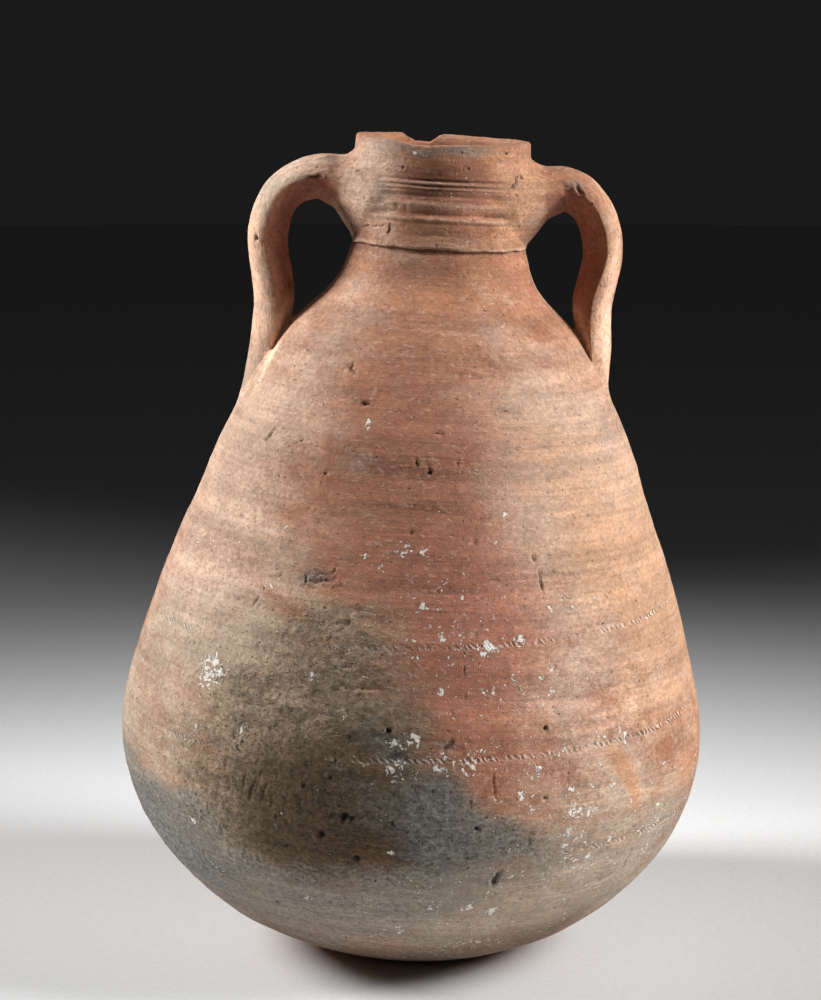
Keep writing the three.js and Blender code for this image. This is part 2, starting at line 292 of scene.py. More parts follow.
def rim_outline():
    """Outside of the rim from its foot to the top of the lip, over it, and into the bore."""
    share = np.linspace(0, 1, 40)[:, None]
    foot = np.array([NECK_RADIUS, RIM_FOOT])
    swell = np.array([NECK_RADIUS + 2 * RIM_SWELL, (RIM_FOOT + RIM_TOP) / 2])
    lip = np.array([LIP_RADIUS, RIM_TOP - LIP_ROUND])
    bulge = foot * (1 - share) ** 2 + swell * 2 * share * (1 - share) + lip * share ** 2
    angle = np.linspace(0, LIP_WRAP, 20)[1:]
    middle = np.array([LIP_RADIUS - LIP_ROUND, RIM_TOP - LIP_ROUND])
    crest = middle + LIP_ROUND * np.column_stack([np.cos(angle), np.sin(angle)])
    across, down = LIP_BEVEL
    bore = [(NECK_BORE + across, RIM_TOP - LIP_FALL), (NECK_BORE, RIM_TOP - LIP_FALL - down)]
    return np.vstack([bulge, crest, bore])


NECK_LINE = evenly(np.vstack([[NECK_RADIUS, NECK_BOTTOM], rim_outline()]), 0.25)
OUTSIDE_RADII = np.vstack([BODY, NECK_LINE[:np.argmax(NECK_LINE[:, 1])]])


def outside_distance(points):
    """How far points of the jar's frame stand off the outside of the body and neck."""
    height = points[:, 2]
    radius = np.interp(height, OUTSIDE_RADII[:, 1], OUTSIDE_RADII[:, 0])
    lean_out = np.interp(height, BODY[:, 1], BODY_SLOPE[:, 1])
    return (np.hypot(points[:, 0], points[:, 1]) - radius) * np.clip(lean_out, 0.3, 1)


# Smooth form of the handles

class Strap:
    """A pulled handle from its root on the neck to its tail on the shoulder, on one side of the jar."""

    STEPS = 30
    COLUMNS = 200

    def __init__(self, side, reach, pinch, stand, drop):
        self.side = side
        middle_drop = (drop - pinch[1]) / 2
        end_drop = drop + TAIL_RUN_OUT
        stations = np.array([
            STRAP_ROOT,
            STRAP_FLARE,
            STRAP_ARCH,
            (reach - ELBOW_INSET, ELBOW_RISE, *STRAP),
            (reach, REACH_RISE, *STRAP),
            (*pinch, *STRAP),
            (self.shoulder_out(middle_drop) + stand, -middle_drop, *MID_TAIL),
            (self.shoulder_out(drop) - TAIL_SINK, -drop, *TAIL),
            (self.shoulder_out(end_drop) - TAIL_END_SINK, -end_drop, *TAIL),
        ])
        self.path = catmull_rom(stations[:, :2] + NECK_FOOT, self.STEPS)
        self.half = catmull_rom(stations[:, 2:] / 2, self.STEPS)
        self.crease = catmull_rom(np.column_stack([CREASES, np.arange(len(CREASES))]), self.STEPS)[:, 0]
        self.way = np.gradient(self.path, axis=0)
        self.way /= np.linalg.norm(self.way, axis=1)[:, None]
        runs = runs_along(self.path)
        self.half_slope = np.gradient(self.half, runs, axis=0)
        self.crease_slope = np.gradient(self.crease, runs)

    def angles(self):
        """Angle of each column round the strap, from the middle of its outer face."""
        return 2 * np.pi * (np.arange(self.COLUMNS) + 0.5) / self.COLUMNS

    @staticmethod
    def shoulder_out(drop):
        """How far the shoulder stands out past the neck, at a drop below the neck's foot."""
        return np.interp(NECK_BOTTOM - drop, BODY[:, 1], BODY[:, 0]) - NECK_RADIUS

    def straightened(self):
        """The skin's points as if the strap ran straight on from its root, for its grain."""
        across, beside = self.section()
        along = runs_along(self.path)[:, None]
        (out, up), way = self.path[0], self.way[0]
        radial = out + along * way[0] - across * way[1]
        height = up + along * way[1] + across * way[0]
        return np.stack([self.side * radial, -self.side * beside, height], axis=-1).reshape(-1, 3)

    def section(self):
        """Where the skin lies across and beside the strap's middle line, by station and column."""
        cosine, sine = np.cos(self.angles()), np.sin(self.angles())
        power = 2 / np.where(cosine > 0, OUTER_ROUND, INNER_ROUND)
        crease = self.crease[:, None]
        depth = np.abs(cosine) ** power * np.where(cosine > 0, 1 - crease, -1 - crease)
        across = self.half[:, None, 0] * (crease + depth)
        beside = self.half[:, None, 1] * np.sign(sine) * np.abs(sine) ** power
        return self.rounded(across), self.rounded(beside)

    @staticmethod
    def rounded(values):
        """Values with the sharp steps between neighbouring columns taken off."""
        for _ in range(3):
            values = values / 2 + (np.roll(values, 1, axis=1) + np.roll(values, -1, axis=1)) / 4
        return values

    def skin(self):
        """Points of the strap's skin, by station along it and column round it."""
        across, beside = self.section()
        radial = self.path[:, None, 0] - self.way[:, None, 1] * across
        height = self.path[:, None, 1] + self.way[:, None, 0] * across
        return np.stack([self.side * radial, -self.side * beside, height], axis=-1)

    def distance(self, points):
        """How far points near the strap stand off its skin, and a large distance elsewhere."""
        found = np.full(len(points), STRAP_FAR)
        out = self.side * points[:, 0]
        top = NECK_BOTTOM + ELBOW_RISE + STRAP_FAR
        level = (points[:, 2] > STRAP_BOTTOM) & (points[:, 2] < top)
        near = np.flatnonzero((out > 0) & (np.abs(points[:, 1]) < STRAP_FAR) & level)
        for part in np.array_split(near, len(near) // 20000 + 1):
            flat = np.column_stack([out[part], points[part, 2]])
            gap = flat[:, None, :] - self.path[None, ::2, :]
            station = np.argmin(np.einsum("ijk,ijk->ij", gap, gap), axis=1)
            offset = gap[np.arange(len(part)), station]
            station = 2 * station
            way = self.way[station]
            along = np.einsum("ij,ij->i", offset, way)
            within = np.clip(along, -STATION_HALF, STATION_HALF)
            half = self.half[station] + within[:, None] * self.half_slope[station]
            crease = self.crease[station] + within * self.crease_slope[station]
            off_crease = (offset[:, 1] * way[:, 0] - offset[:, 0] * way[:, 1]) / half[:, 0] - crease
            beside = np.abs(points[part, 1]) / half[:, 1]
            power = np.where(off_crease > 0, OUTER_ROUND, INNER_ROUND)
            depth = np.abs(off_crease) / np.where(off_crease > 0, 1 - crease, 1 + crease)
            size = np.maximum((depth ** power + beside ** power) ** (1 / power), 1e-6)
            skin_gap = np.hypot(off_crease * half[:, 0], points[part, 1]) * (1 - 1 / size)
            past_end = np.maximum(np.abs(along) - STATION_HALF, 0)
            off_end = np.hypot(np.maximum(skin_gap, 0), past_end)
            found[part] = np.where(past_end > 0, off_end, skin_gap)
        return found


STRAPS = {"handle_left": Strap(-1, **LEFT_STRAP), "handle_right": Strap(1, **RIGHT_STRAP)}


def blended(own, other, reach):
    """Distance off two forms run into one another over a reach."""
    overlap = np.maximum(reach - np.abs(own - other), 0)
    return np.minimum(own, other) - overlap ** 2 / (4 * reach)


def lute(points, normals, own, other, tuck):
    """Rise along the normals to the smeared joint of two forms.

    Gives also how far points lie past the forms' meeting line, and where the joint puts them.
    """
    rise = np.zeros(len(points))
    for _ in range(LUTE_ROUNDS):
        moved = points + normals * rise[:, None]
        reach = np.interp(moved[:, 2], *zip(*LUTING))
        gap = blended(own(moved), other(moved), reach)
        rise = np.clip(rise - LUTE_STRIDE * gap, -1.0, 0.5 * reach)
    past = own(moved) - other(moved)
    rise = rise * (1 - smooth_step(-past - reach, *REACH_FADE))
    rise = rise * (1 - smooth_step(past, *PAST_FADE)) - TUCK_DEPTH * smooth_step(past, *tuck)
    rise = rise * (1 - smooth_step(points[:, 2], *RIM_FADE))
    return rise, past, moved


# Frames

SHIFT = np.array([-CAP_CENTRE * np.sin(LEAN), 0, CAP_CENTRE * (1 - np.cos(LEAN))])
LEANING = np.array([[np.cos(LEAN), 0, np.sin(LEAN)], [0, 1, 0], [-np.sin(LEAN), 0, np.cos(LEAN)]])


def to_world(points):
    return (points @ LEANING.T + SHIFT) * MM


CAMERA_WAY = np.array([0, np.cos(CAMERA_PITCH), -np.sin(CAMERA_PITCH)])
CAMERA_UP = np.array([0, np.sin(CAMERA_PITCH), np.cos(CAMERA_PITCH)])
CAMERA_PLACE = LOOK_AT - CAMERA_WAY * CAMERA_DISTANCE


def on_jar(pixels):
    """Points of the jar that the photograph shows at pixels, or the nearest on its outline."""
    pixels = np.reshape(pixels, (-1, 2)).astype(float)
    right = (pixels[:, :1] - PHOTO_WIDTH / 2) / FOCAL_PIXELS
    up = (PHOTO_HEIGHT / 2 - pixels[:, 1:]) / FOCAL_PIXELS
    rays = CAMERA_WAY + right * (1, 0, 0) + up * CAMERA_UP
    rays = rays / np.linalg.norm(rays, axis=1)[:, None] @ LEANING
    start = (CAMERA_PLACE - SHIFT) @ LEANING
    travel = np.full(len(pixels), RAY_START)
    nearest = np.full(len(pixels), np.inf)
    found = np.zeros((len(pixels), 3))
    for _ in range(RAY_ROUNDS):
        points = start + rays * travel[:, None]
        gaps = [outside_distance(points)] + [strap.distance(points) for strap in STRAPS.values()]
        gap = np.min(gaps, axis=0)
        closer = np.abs(gap) < nearest
        found[closer], nearest[closer] = points[closer], np.abs(gap)[closer]
        travel += RAY_STRIDE * np.minimum(gap, RAY_LONGEST)
    return found


def turn_of(points):
    return np.arctan2(points[:, 0], -points[:, 1])


# Marks that the photograph shows, by pixel

# Pits: place, radius and depth in millimetres
PITS = [
    ((345, 816), 2.9, 2.6), ((352, 819), 2.0, 1.6), ((321, 834), 2.6, 2.2), ((357, 858), 2.3, 2.2),
    ((368, 812), 1.3, 1.2), ((392, 824), 1.6, 1.3), ((303, 786), 1.5, 1.4), ((287, 845), 1.4, 1.2),
    ((331, 777), 1.4, 1.2), ((243, 741), 1.3, 1.2), ((226, 826), 1.3, 1.0), ((222, 829), 1.1, 1.0),
    ((258, 857), 1.3, 1.2), ((276, 816), 1.3, 1.0), ((203, 788), 1.2, 1.0), ((388, 731), 2.0, 1.5),
    ((277, 902), 2.6, 1.6), ((546, 728), 1.7, 2.0), ((545, 798), 1.7, 1.4), ((477, 829), 2.0, 1.6),
    ((325, 473), 1.4, 1.2), ((438, 433), 1.3, 1.2), ((429, 472), 1.5, 1.5), ((416, 464), 1.6, 1.4),
    ((457, 464), 1.4, 1.2), ((267, 505), 1.3, 1.1), ((411, 533), 1.6, 1.0), ((475, 542), 1.8, 0.9),
    ((641, 739), 1.1, 1.0), ((657, 774), 1.2, 1.0), ((628, 591), 0.9, 0.8), ((494, 882), 2.6, 1.7),
    ((599, 881), 2.2, 1.4), ((256, 238), 1.8, 1.8), ((262, 244), 1.2, 0.9), ((297, 167), 1.2, 0.9),
    ((317, 167), 1.1, 0.8), ((508, 153), 1.3, 1.1), ((405, 168), 1.2, 1.0), ((469, 169), 1.0, 0.8),
    ((510, 195), 1.2, 0.9), ((506, 229), 1.1, 0.8), ((478, 252), 1.4, 0.9), ((610, 214), 1.1, 0.9),
    ((617, 230), 1.1, 1.0), ((586, 323), 1.3, 0.9), ((533, 326), 1.5, 0.9), ((566, 862), 1.2, 1.0),
    ((466, 930), 1.6, 1.0),
]

# Cuts and scratches: from, to, half width and depth in millimetres
CUTS = [
    ((306, 575), (333, 575), 0.8, 1.1), ((306, 576), (307, 585), 0.8, 1.1),
    ((308, 587), (343, 586), 0.9, 0.8), ((312, 581), (331, 581), 1.6, 1.15),
    ((322, 581), (336, 580), 1.6, 0.8), ((267, 440), (276, 428), 1.3, 1.8),
    ((296, 443), (304, 439), 1.1, 1.2), ((338, 372), (347, 368), 0.9, 1.0),
    ((348, 366), (356, 374), 1.3, 1.2), ((350, 373), (353, 362), 1.0, 1.0),
    ((361, 360), (364, 362), 0.8, 0.8), ((427, 461), (431, 474), 1.0, 1.1),
    ((415, 459), (419, 468), 1.1, 1.2), ((434, 433), (444, 434), 1.0, 1.5),
    ((363, 403), (370, 404), 1.3, 1.9), ((277, 577), (283, 573), 0.8, 1.0),
    ((334, 572), (337, 567), 0.8, 1.0), ((253, 606), (259, 597), 0.8, 0.9),
    ((257, 600), (261, 604), 0.7, 0.8), ((532, 553), (536, 563), 1.5, 1.2),
    ((537, 564), (543, 592), 0.8, 1.5), ((320, 513), (350, 520), 1.2, 0.5),
    ((425, 340), (441, 332), 0.9, -0.4), ((508, 189), (513, 184), 0.9, 1.2),
    ((513, 184), (515, 177), 1.0, 1.6), ((515, 177), (519, 175), 0.8, 1.3),
    ((519, 175), (521, 182), 0.9, 1.5), ((522, 169), (528, 163), 0.6, 0.8),
    ((390, 224), (388, 233), 0.9, 1.3), ((359, 228), (370, 225), 0.8, 1.1),
    ((372, 227), (384, 226), 0.8, 0.8), ((354, 159), (374, 181), 1.1, -0.7),
    ((380, 200), (392, 203), 2.0, 0.5), ((331, 668), (356, 667), 0.9, 0.9),
    ((333, 670), (358, 670), 0.8, -0.5), ((330, 690), (384, 689), 0.9, 0.9),
    ((336, 692), (370, 693), 0.8, -0.5), ((325, 622), (350, 624), 0.9, 0.8),
    ((290, 616), (328, 618), 0.9, 0.7), ((346, 609), (370, 611), 1.4, 0.5),
    ((258, 776), (250, 800), 1.6, 0.6), ((262, 772), (256, 792), 1.0, 0.7),
    ((247, 772), (243, 790), 1.1, 0.5), ((268, 782), (262, 800), 1.0, 0.5),
    ((493, 774), (495, 799), 0.9, 1.0), ((632, 850), (621, 868), 1.4, 0.9),
    ((621, 868), (602, 880), 1.3, 0.9), ((500, 872), (492, 884), 1.9, 1.3),
    ((447, 864), (424, 876), 0.8, 0.4), ((305, 178), (322, 176), 1.3, 1.1),
    ((322, 176), (312, 178), 0.8, 0.8), ((562, 186), (572, 194), 2.6, 0.6),
    ((576, 185), (582, 195), 1.5, 1.1), ((463, 700), (465, 693), 0.8, 0.6),
    ((463, 666), (466, 676), 0.8, 0.6), ((257, 645), (262, 651), 0.8, 0.8),
    ((667, 594), (664, 612), 0.9, 0.7), ((262, 372), (252, 388), 1.4, 0.6),
    ((205, 556), (222, 566), 3.2, 0.5), ((206, 566), (217, 555), 3.0, 0.6),
    ((440, 745), (462, 752), 2.4, 0.8), ((443, 752), (452, 740), 2.0, 1.0),
    ((383, 757), (402, 756), 3.0, 0.9), ((200, 854), (236, 880), 1.0, 1.1),
    ((236, 880), (268, 893), 1.0, 1.0), ((268, 893), (330, 912), 1.0, 0.8),
    ((297, 806), (330, 806), 1.2, 0.3), ((300, 765), (345, 768), 1.3, 0.3),
]

# Lime crust: place, half width in millimetres, and how thick it lies from 0 to 1
LIME_SPOTS = [
    ((211, 669), 12, 1.0), ((196, 727), 6, 0.7), ((240, 728), 3.5, 0.9), ((207, 727), 4, 0.5),
    ((313, 677), 3.2, 1.0), ((344, 712), 3.6, 0.8), ((160, 737), 4, 0.6), ((396, 745), 4.5, 0.9),
    ((415, 740), 5, 0.9), ((394, 769), 7, 0.75), ((412, 774), 6, 0.7), ((440, 765), 8, 0.7),
    ((470, 766), 8, 0.75), ((486, 650), 6, 1.0), ((520, 640), 4, 0.95), ((443, 640), 3.5, 0.9),
    ((452, 660), 4, 0.7), ((552, 669), 4, 0.8), ((552, 690), 3, 0.95), ((486, 692), 2.6, 0.9),
    ((441, 692), 2.6, 0.95), ((541, 677), 3.5, 0.7), ((423, 607), 3, 0.95), ((405, 550), 5, 0.85),
    ((424, 552), 3, 0.9), ((363, 557), 2.6, 0.95), ((380, 569), 3, 0.8), ((461, 595), 2.4, 0.8),
    ((523, 607), 3, 0.7), ((550, 610), 3.5, 0.85), ((562, 597), 3, 0.8), ((570, 607), 3, 0.75),
    ((497, 548), 4, 0.6), ((367, 420), 2.4, 1.0), ((369, 427), 2, 0.9), ((471, 375), 2.4, 0.75),
    ((531, 774), 5, 0.85), ((538, 770), 3, 1.0), ((522, 794), 2.6, 1.0), ((521, 800), 2.2, 1.0),
    ((572, 787), 3.4, 1.05), ((562, 796), 5, 0.65), ((577, 811), 6, 1.0), ((570, 829), 3, 1.0),
    ((590, 812), 5, 0.75), ((586, 680), 3, 0.6), ((560, 750), 8, 0.6), ((600, 740), 8, 0.65),
    ((625, 736), 7, 0.7), ((613, 783), 5, 0.7), ((590, 785), 4, 0.65), ((523, 847), 4, 0.9),
    ((510, 848), 3, 0.6), ((434, 907), 5, 0.85), ((466, 907), 6, 0.85), ((493, 910), 7, 0.95),
    ((485, 896), 5, 0.7), ((527, 893), 4, 0.7), ((401, 930), 4.5, 1.0), ((319, 926), 3, 0.7),
    ((310, 898), 4, 0.75), ((332, 889), 2.6, 0.6), ((218, 868), 6, 0.65), ((158, 795), 4, 0.7),
    ((194, 821), 2.4, 0.9), ((222, 635), 2.6, 0.6), ((286, 640), 4, 0.65), ((373, 650), 4, 0.65),
    ((345, 816), 2, 0.3), ((451, 207), 3, 0.75), ((430, 218), 2.4, 0.6), ((362, 464), 7, 0.35),
    ((459, 199), 2.2, 0.5), ((426, 150), 2, 0.9), ((416, 149), 1.6, 0.8), ((173, 615), 2, 0.9),
    ((200, 541), 6, 0.55), ((213, 543), 5, 0.6), ((183, 541), 3, 0.8), ((300, 393), 5, 0.3),
    ((391, 853), 2.4, 0.9), ((631, 800), 4, 0.7), ((610, 838), 4, 0.8), ((640, 832), 5, 0.8),
    ((585, 842), 4, 0.7), ((434, 332), 3, 0.5), ((559, 862), 4, 0.65), ((545, 884), 4, 0.65),
    ((461, 941), 3, 0.5), ((456, 762), 4, 0.8), ((244, 522), 2, 0.8), ((285, 530), 2.2, 0.8),
    ((295, 536), 4, 0.6), ((264, 544), 1.8, 0.8), ((239, 543), 1.8, 0.8), ((272, 586), 2.5, 0.8),
    ((505, 515), 2.6, 0.8), ((478, 470), 2.2, 0.8), ((493, 470), 2.2, 0.8), ((431, 499), 2.2, 0.8),
    ((441, 510), 2, 0.8), ((376, 543), 2.2, 0.8),
]
# How far a spot spreads past its half width
LIME_SPREAD = 1.3


class Marks:
    """Cuts and pits as short strokes on the jar, each with a half width and a depth."""

    def __init__(self):
        starts = [pit[0] for pit in PITS] + [cut[0] for cut in CUTS]
        ends = [pit[0] for pit in PITS] + [cut[1] for cut in CUTS]
        self.start = on_jar(starts)
        self.stroke = on_jar(ends) - self.start
        self.half_width = np.array([pit[1] for pit in PITS] + [cut[2] for cut in CUTS])
        self.depth = np.array([pit[2] for pit in PITS] + [cut[3] for cut in CUTS])

    def depth_at(self, points):
        """Depth cut below the surface at points, less where a burr stands up."""
        ragged = points + 0.9 * np.column_stack([fractal(points, 4.2, 60 + 3 * k, 2) for k in range(3)])
        cut = np.zeros(len(points))
        for start, stroke, half_width, depth in zip(self.start, self.stroke, self.half_width, self.depth):
            reach = np.linalg.norm(stroke) + 3 * half_width
            near = np.flatnonzero(np.abs(points - start).max(axis=1) < reach)
            away = ragged[near] - start
            share = np.clip(away @ stroke / max(stroke @ stroke, 1e-9), 0, 1)
            gap = np.linalg.norm(away - share[:, None] * stroke, axis=1) / half_width
            taper = 1 - 0.55 * np.abs(2 * share - 1) ** 3 if stroke.any() else 1
            dip = depth * taper * (1 - smooth_step(gap, 0.35, 1.15))
            burr = 0.12 * depth * smooth_step(gap, 0.8, 1.3) * (1 - smooth_step(gap, 1.3, 2.2))
            cut[near] = np.where(np.abs(dip) > np.abs(cut[near]), dip, cut[near]) - burr
        return cut


MARKS = Marks()
LIME_PLACES = on_jar([spot[0] for spot in LIME_SPOTS])


def at_turn(degrees, height):
    """Point of the jar's outside at a turn and a height, for the sides that the photograph hides."""
    radius = np.interp(height, OUTSIDE_RADII[:, 1], OUTSIDE_RADII[:, 0])
    turn = np.radians(degrees)
    return np.array([radius * np.sin(turn), -radius * np.cos(turn), height])


# Fired colours as outlines on the jar: softness of the edge in millimetres, strength, and corners
# in pixels. The pale, whitish and pink patches on the lit sides and the handles' outer faces are
# partly painted sheen and highlight of the side lamps; the neck's front is partly painted shade.
FRONT_ZONES = {
    # Paler fired clay, with painted sheen of the side lamps on both flanks and the handles
    "pale": [
        (45, 1.0, [(235, 395), (300, 345), (350, 330), (325, 420), (285, 470), (275, 560), (170, 590),
                   (205, 450)]),
        (40, 1.0, [(500, 345), (580, 360), (640, 480), (665, 570), (590, 575), (520, 490), (480, 400)]),
        (30, 0.7, [(150, 620), (215, 550), (300, 555), (310, 600), (240, 630)]),
        (34, 0.9, [(480, 430), (560, 430), (610, 520), (590, 600), (500, 570)]),
        (6, 1.0, [(240, 215), (256, 180), (285, 156), (318, 152), (305, 186), (280, 205), (275, 330),
                  (252, 380), (240, 300)]),
        (30, 0.3, [(124, 700), (150, 610), (180, 640), (190, 720), (150, 760)]),
        (30, 0.5, [(640, 560), (672, 580), (695, 700), (670, 720), (640, 660)]),
        (30, 0.8, [(530, 605), (600, 615), (630, 680), (590, 730), (530, 700)]),
        (8, 0.8, [(356, 134), (400, 140), (405, 165), (370, 175), (355, 150)]),
        (8, 0.25, [(570, 165), (605, 185), (630, 225), (620, 300), (612, 385), (588, 345), (594, 260),
                   (598, 220), (580, 196)]),
        (22, 0.7, [(362, 150), (402, 170), (398, 240), (358, 232)]),
        (20, 0.4, [(345, 265), (390, 255), (420, 275), (390, 300), (325, 305)]),
    ],
    # Whitish painted highlight on the left handle's arch, the lit flanks and the neck's left, with some
    # dusty coat
    "chalk": [
        (9, 0.8, [(262, 214), (262, 190), (278, 168), (302, 158), (330, 154), (345, 160), (310, 176),
                  (284, 194)]),
        (30, 0.42, [(176, 560), (215, 520), (262, 545), (275, 610), (262, 680), (205, 665),
                    (170, 610)]),
        (34, 0.38, [(520, 600), (600, 615), (655, 700), (650, 800), (600, 835), (530, 815),
                    (520, 700)]),
        (26, 0.6, [(505, 885), (560, 860), (610, 835), (655, 815), (625, 885), (545, 925), (470, 930)]),
        (22, 0.45, [(350, 150), (392, 160), (390, 240), (350, 232)]),
    ],
    # Pink painted highlight on the handles' outer faces
    "blush": [
        (9, 1.0, [(238, 225), (256, 192), (268, 204), (262, 290), (256, 390), (240, 330)]),
        (9, 1.0, [(598, 270), (620, 250), (622, 330), (614, 390), (588, 352)]),
    ],
    "orange": [
        (36, 0.9, [(560, 490), (640, 480), (680, 620), (690, 700), (660, 720), (620, 690), (600, 600),
                   (560, 560)]),
        (18, 0.55, [(148, 712), (192, 718), (188, 762), (154, 758)]),
        (18, 0.45, [(440, 400), (520, 395), (610, 440), (600, 465), (500, 470), (440, 440)]),
        (6, 0.6, [(430, 240), (500, 236), (510, 250), (430, 252)]),
        (10, 0.9, [(572, 168), (606, 186), (630, 226), (622, 300), (600, 380), (590, 300), (594, 216)]),
        (4, 0.8, [(300, 166), (314, 166), (314, 175), (300, 175)]),
        (12, 0.6, [(490, 150), (528, 148), (524, 240), (500, 240)]),
    ],
    "red": [
        (34, 0.95, [(340, 560), (420, 545), (500, 560), (530, 600), (530, 660), (500, 720), (520, 760),
                    (470, 770), (430, 755), (400, 700), (372, 650), (362, 600)]),
        (34, 0.5, [(360, 380), (500, 370), (520, 460), (480, 540), (360, 540)]),
        (18, 0.5, [(500, 765), (560, 770), (570, 810), (530, 820), (490, 790)]),
        # The neck's front: fired red, partly painted shade between the two side lamps
        (26, 0.4, [(395, 150), (510, 150), (500, 235), (400, 240)]),
    ],
    "smoke": [
        (28, 0.9, [(340, 430), (470, 420), (480, 520), (420, 540), (350, 520)]),
        (18, 0.9, [(380, 585), (480, 590), (500, 620), (380, 618)]),
        (30, 0.7, [(370, 300), (450, 290), (545, 275), (545, 315), (455, 330), (450, 400), (385, 400)]),
        # The neck's front: smoke cloud, partly painted shade between the two side lamps
        (30, 0.9, [(398, 156), (492, 156), (486, 240), (402, 240)]),
        (10, 0.5, [(390, 650), (500, 650), (520, 690), (420, 690)]),
        (24, 0.6, [(372, 520), (460, 530), (490, 600), (470, 650), (380, 640)]),
    ],
    "beige": [
        (30, 0.85, [(165, 610), (230, 590), (320, 630), (300, 690), (215, 720), (180, 690)]),
        (30, 0.85, [(455, 885), (530, 862), (600, 850), (662, 820), (640, 880), (560, 930),
                    (440, 948)]),
        (30, 0.6, [(520, 780), (640, 740), (680, 780), (650, 830), (560, 860), (530, 830)]),
        (24, 0.3, [(122, 650), (150, 605), (185, 650), (205, 720), (195, 770), (150, 790), (124, 750)]),
        (12, 0.9, [(256, 195), (268, 176), (300, 164), (306, 180), (276, 196), (262, 220)]),
        (14, 0.8, [(405, 905), (470, 900), (490, 925), (450, 945), (400, 940)]),
        (7, 0.5, [(348, 450), (372, 452), (374, 476), (352, 480)]),
        (18, 0.55, [(128, 705), (200, 722), (205, 780), (180, 795), (140, 765)]),
        (16, 0.4, [(270, 930), (330, 940), (400, 938), (560, 925), (520, 955), (400, 964), (320, 958)]),
    ],
    "rust": [
        (7, 0.7, [(674, 748), (690, 742), (690, 778), (676, 785)]),
        (3, 0.9, [(611, 750), (622, 752), (634, 780), (640, 812), (630, 814), (621, 784), (609, 762)]),
    ],
    "olive": [
        (24, 0.95, [(225, 665), (300, 640), (370, 640), (392, 690), (425, 735), (425, 770), (380, 785),
                    (230, 775), (190, 740)]),
        (6, 0.5, [(285, 612), (372, 608), (377, 630), (290, 632)]),
        (24, 0.45, [(290, 590), (385, 592), (402, 680), (300, 670)]),
        (9, 0.45, [(666, 728), (688, 722), (692, 744), (672, 756)]),
        (24, 0.6, [(190, 785), (250, 785), (275, 872), (225, 862)]),
        (16, 0.9, [(178, 776), (230, 762), (290, 790), (300, 872), (235, 866), (190, 815)]),
        (18, 0.3, [(124, 690), (148, 600), (172, 560), (185, 600), (165, 680), (150, 740)]),
    ],
    "umber": [
        (30, 1.0, [(225, 780), (260, 752), (330, 715), (395, 720), (425, 780), (430, 850), (400, 880),
                   (330, 892), (265, 872), (235, 835)]),
        (10, 0.7, [(385, 800), (440, 790), (450, 870), (380, 880)]),
        (20, 0.85, [(122, 745), (142, 760), (190, 835), (236, 880), (215, 895), (146, 830)]),
        (20, 0.35, [(230, 882), (400, 892), (420, 930), (320, 950), (240, 915)]),
        (14, 0.55, [(270, 925), (340, 938), (440, 940), (560, 915), (610, 890), (560, 945), (440, 968),
                    (330, 962)]),
    ],
    "grey": [
        (13, 0.9, [(146, 800), (190, 798), (225, 850), (320, 885), (430, 862), (500, 856), (495, 876),
                   (450, 905), (330, 928), (230, 895), (180, 860)]),
        (24, 0.75, [(180, 850), (250, 880), (400, 880), (470, 890), (440, 945), (320, 945),
                    (230, 910)]),
        (14, 0.7, [(126, 750), (158, 772), (188, 802), (205, 836), (150, 806)]),
        (12, 0.8, [(124, 745), (150, 775), (190, 850), (240, 900), (200, 885), (150, 815)]),
        (9, 0.45, [(366, 138), (384, 138), (412, 146), (408, 158), (384, 160), (368, 152)]),
        (14, 0.7, [(160, 800), (200, 800), (240, 845), (300, 875), (280, 890), (200, 860)]),
        (12, 0.75, [(470, 862), (545, 842), (575, 852), (540, 882), (480, 890)]),
    ],
    "soot": [
        (9, 0.9, [(425, 786), (452, 780), (478, 802), (505, 818), (528, 836), (530, 850), (500, 860),
                  (440, 864), (405, 850), (402, 810)]),
        (14, 0.4, [(398, 784), (458, 778), (508, 810), (542, 840), (528, 862), (440, 878), (390, 860)]),
        (7, 0.5, [(378, 748), (400, 744), (405, 760), (382, 764)]),
        (3, 0.6, [(442, 742), (458, 740), (460, 756), (444, 758)]),
        (4, 0.6, [(304, 573), (336, 572), (338, 588), (306, 588)]),
        (3.6, 0.7, [(396, 142), (425, 147), (470, 144), (507, 143), (500, 148), (484, 151), (471, 153),
                    (451, 149), (437, 152), (424, 154), (410, 149)]),
        (14, 0.3, [(330, 700), (390, 700), (410, 740), (340, 750)]),
        (14, 0.75, [(124, 752), (156, 782), (196, 826), (240, 872), (240, 902), (170, 862),
                    (138, 820)]),
        (3, 0.6, [(559, 181), (580, 182), (588, 196), (574, 198), (560, 194)]),
        (12, 0.5, [(340, 770), (415, 770), (415, 830), (350, 830)]),
    ],
}
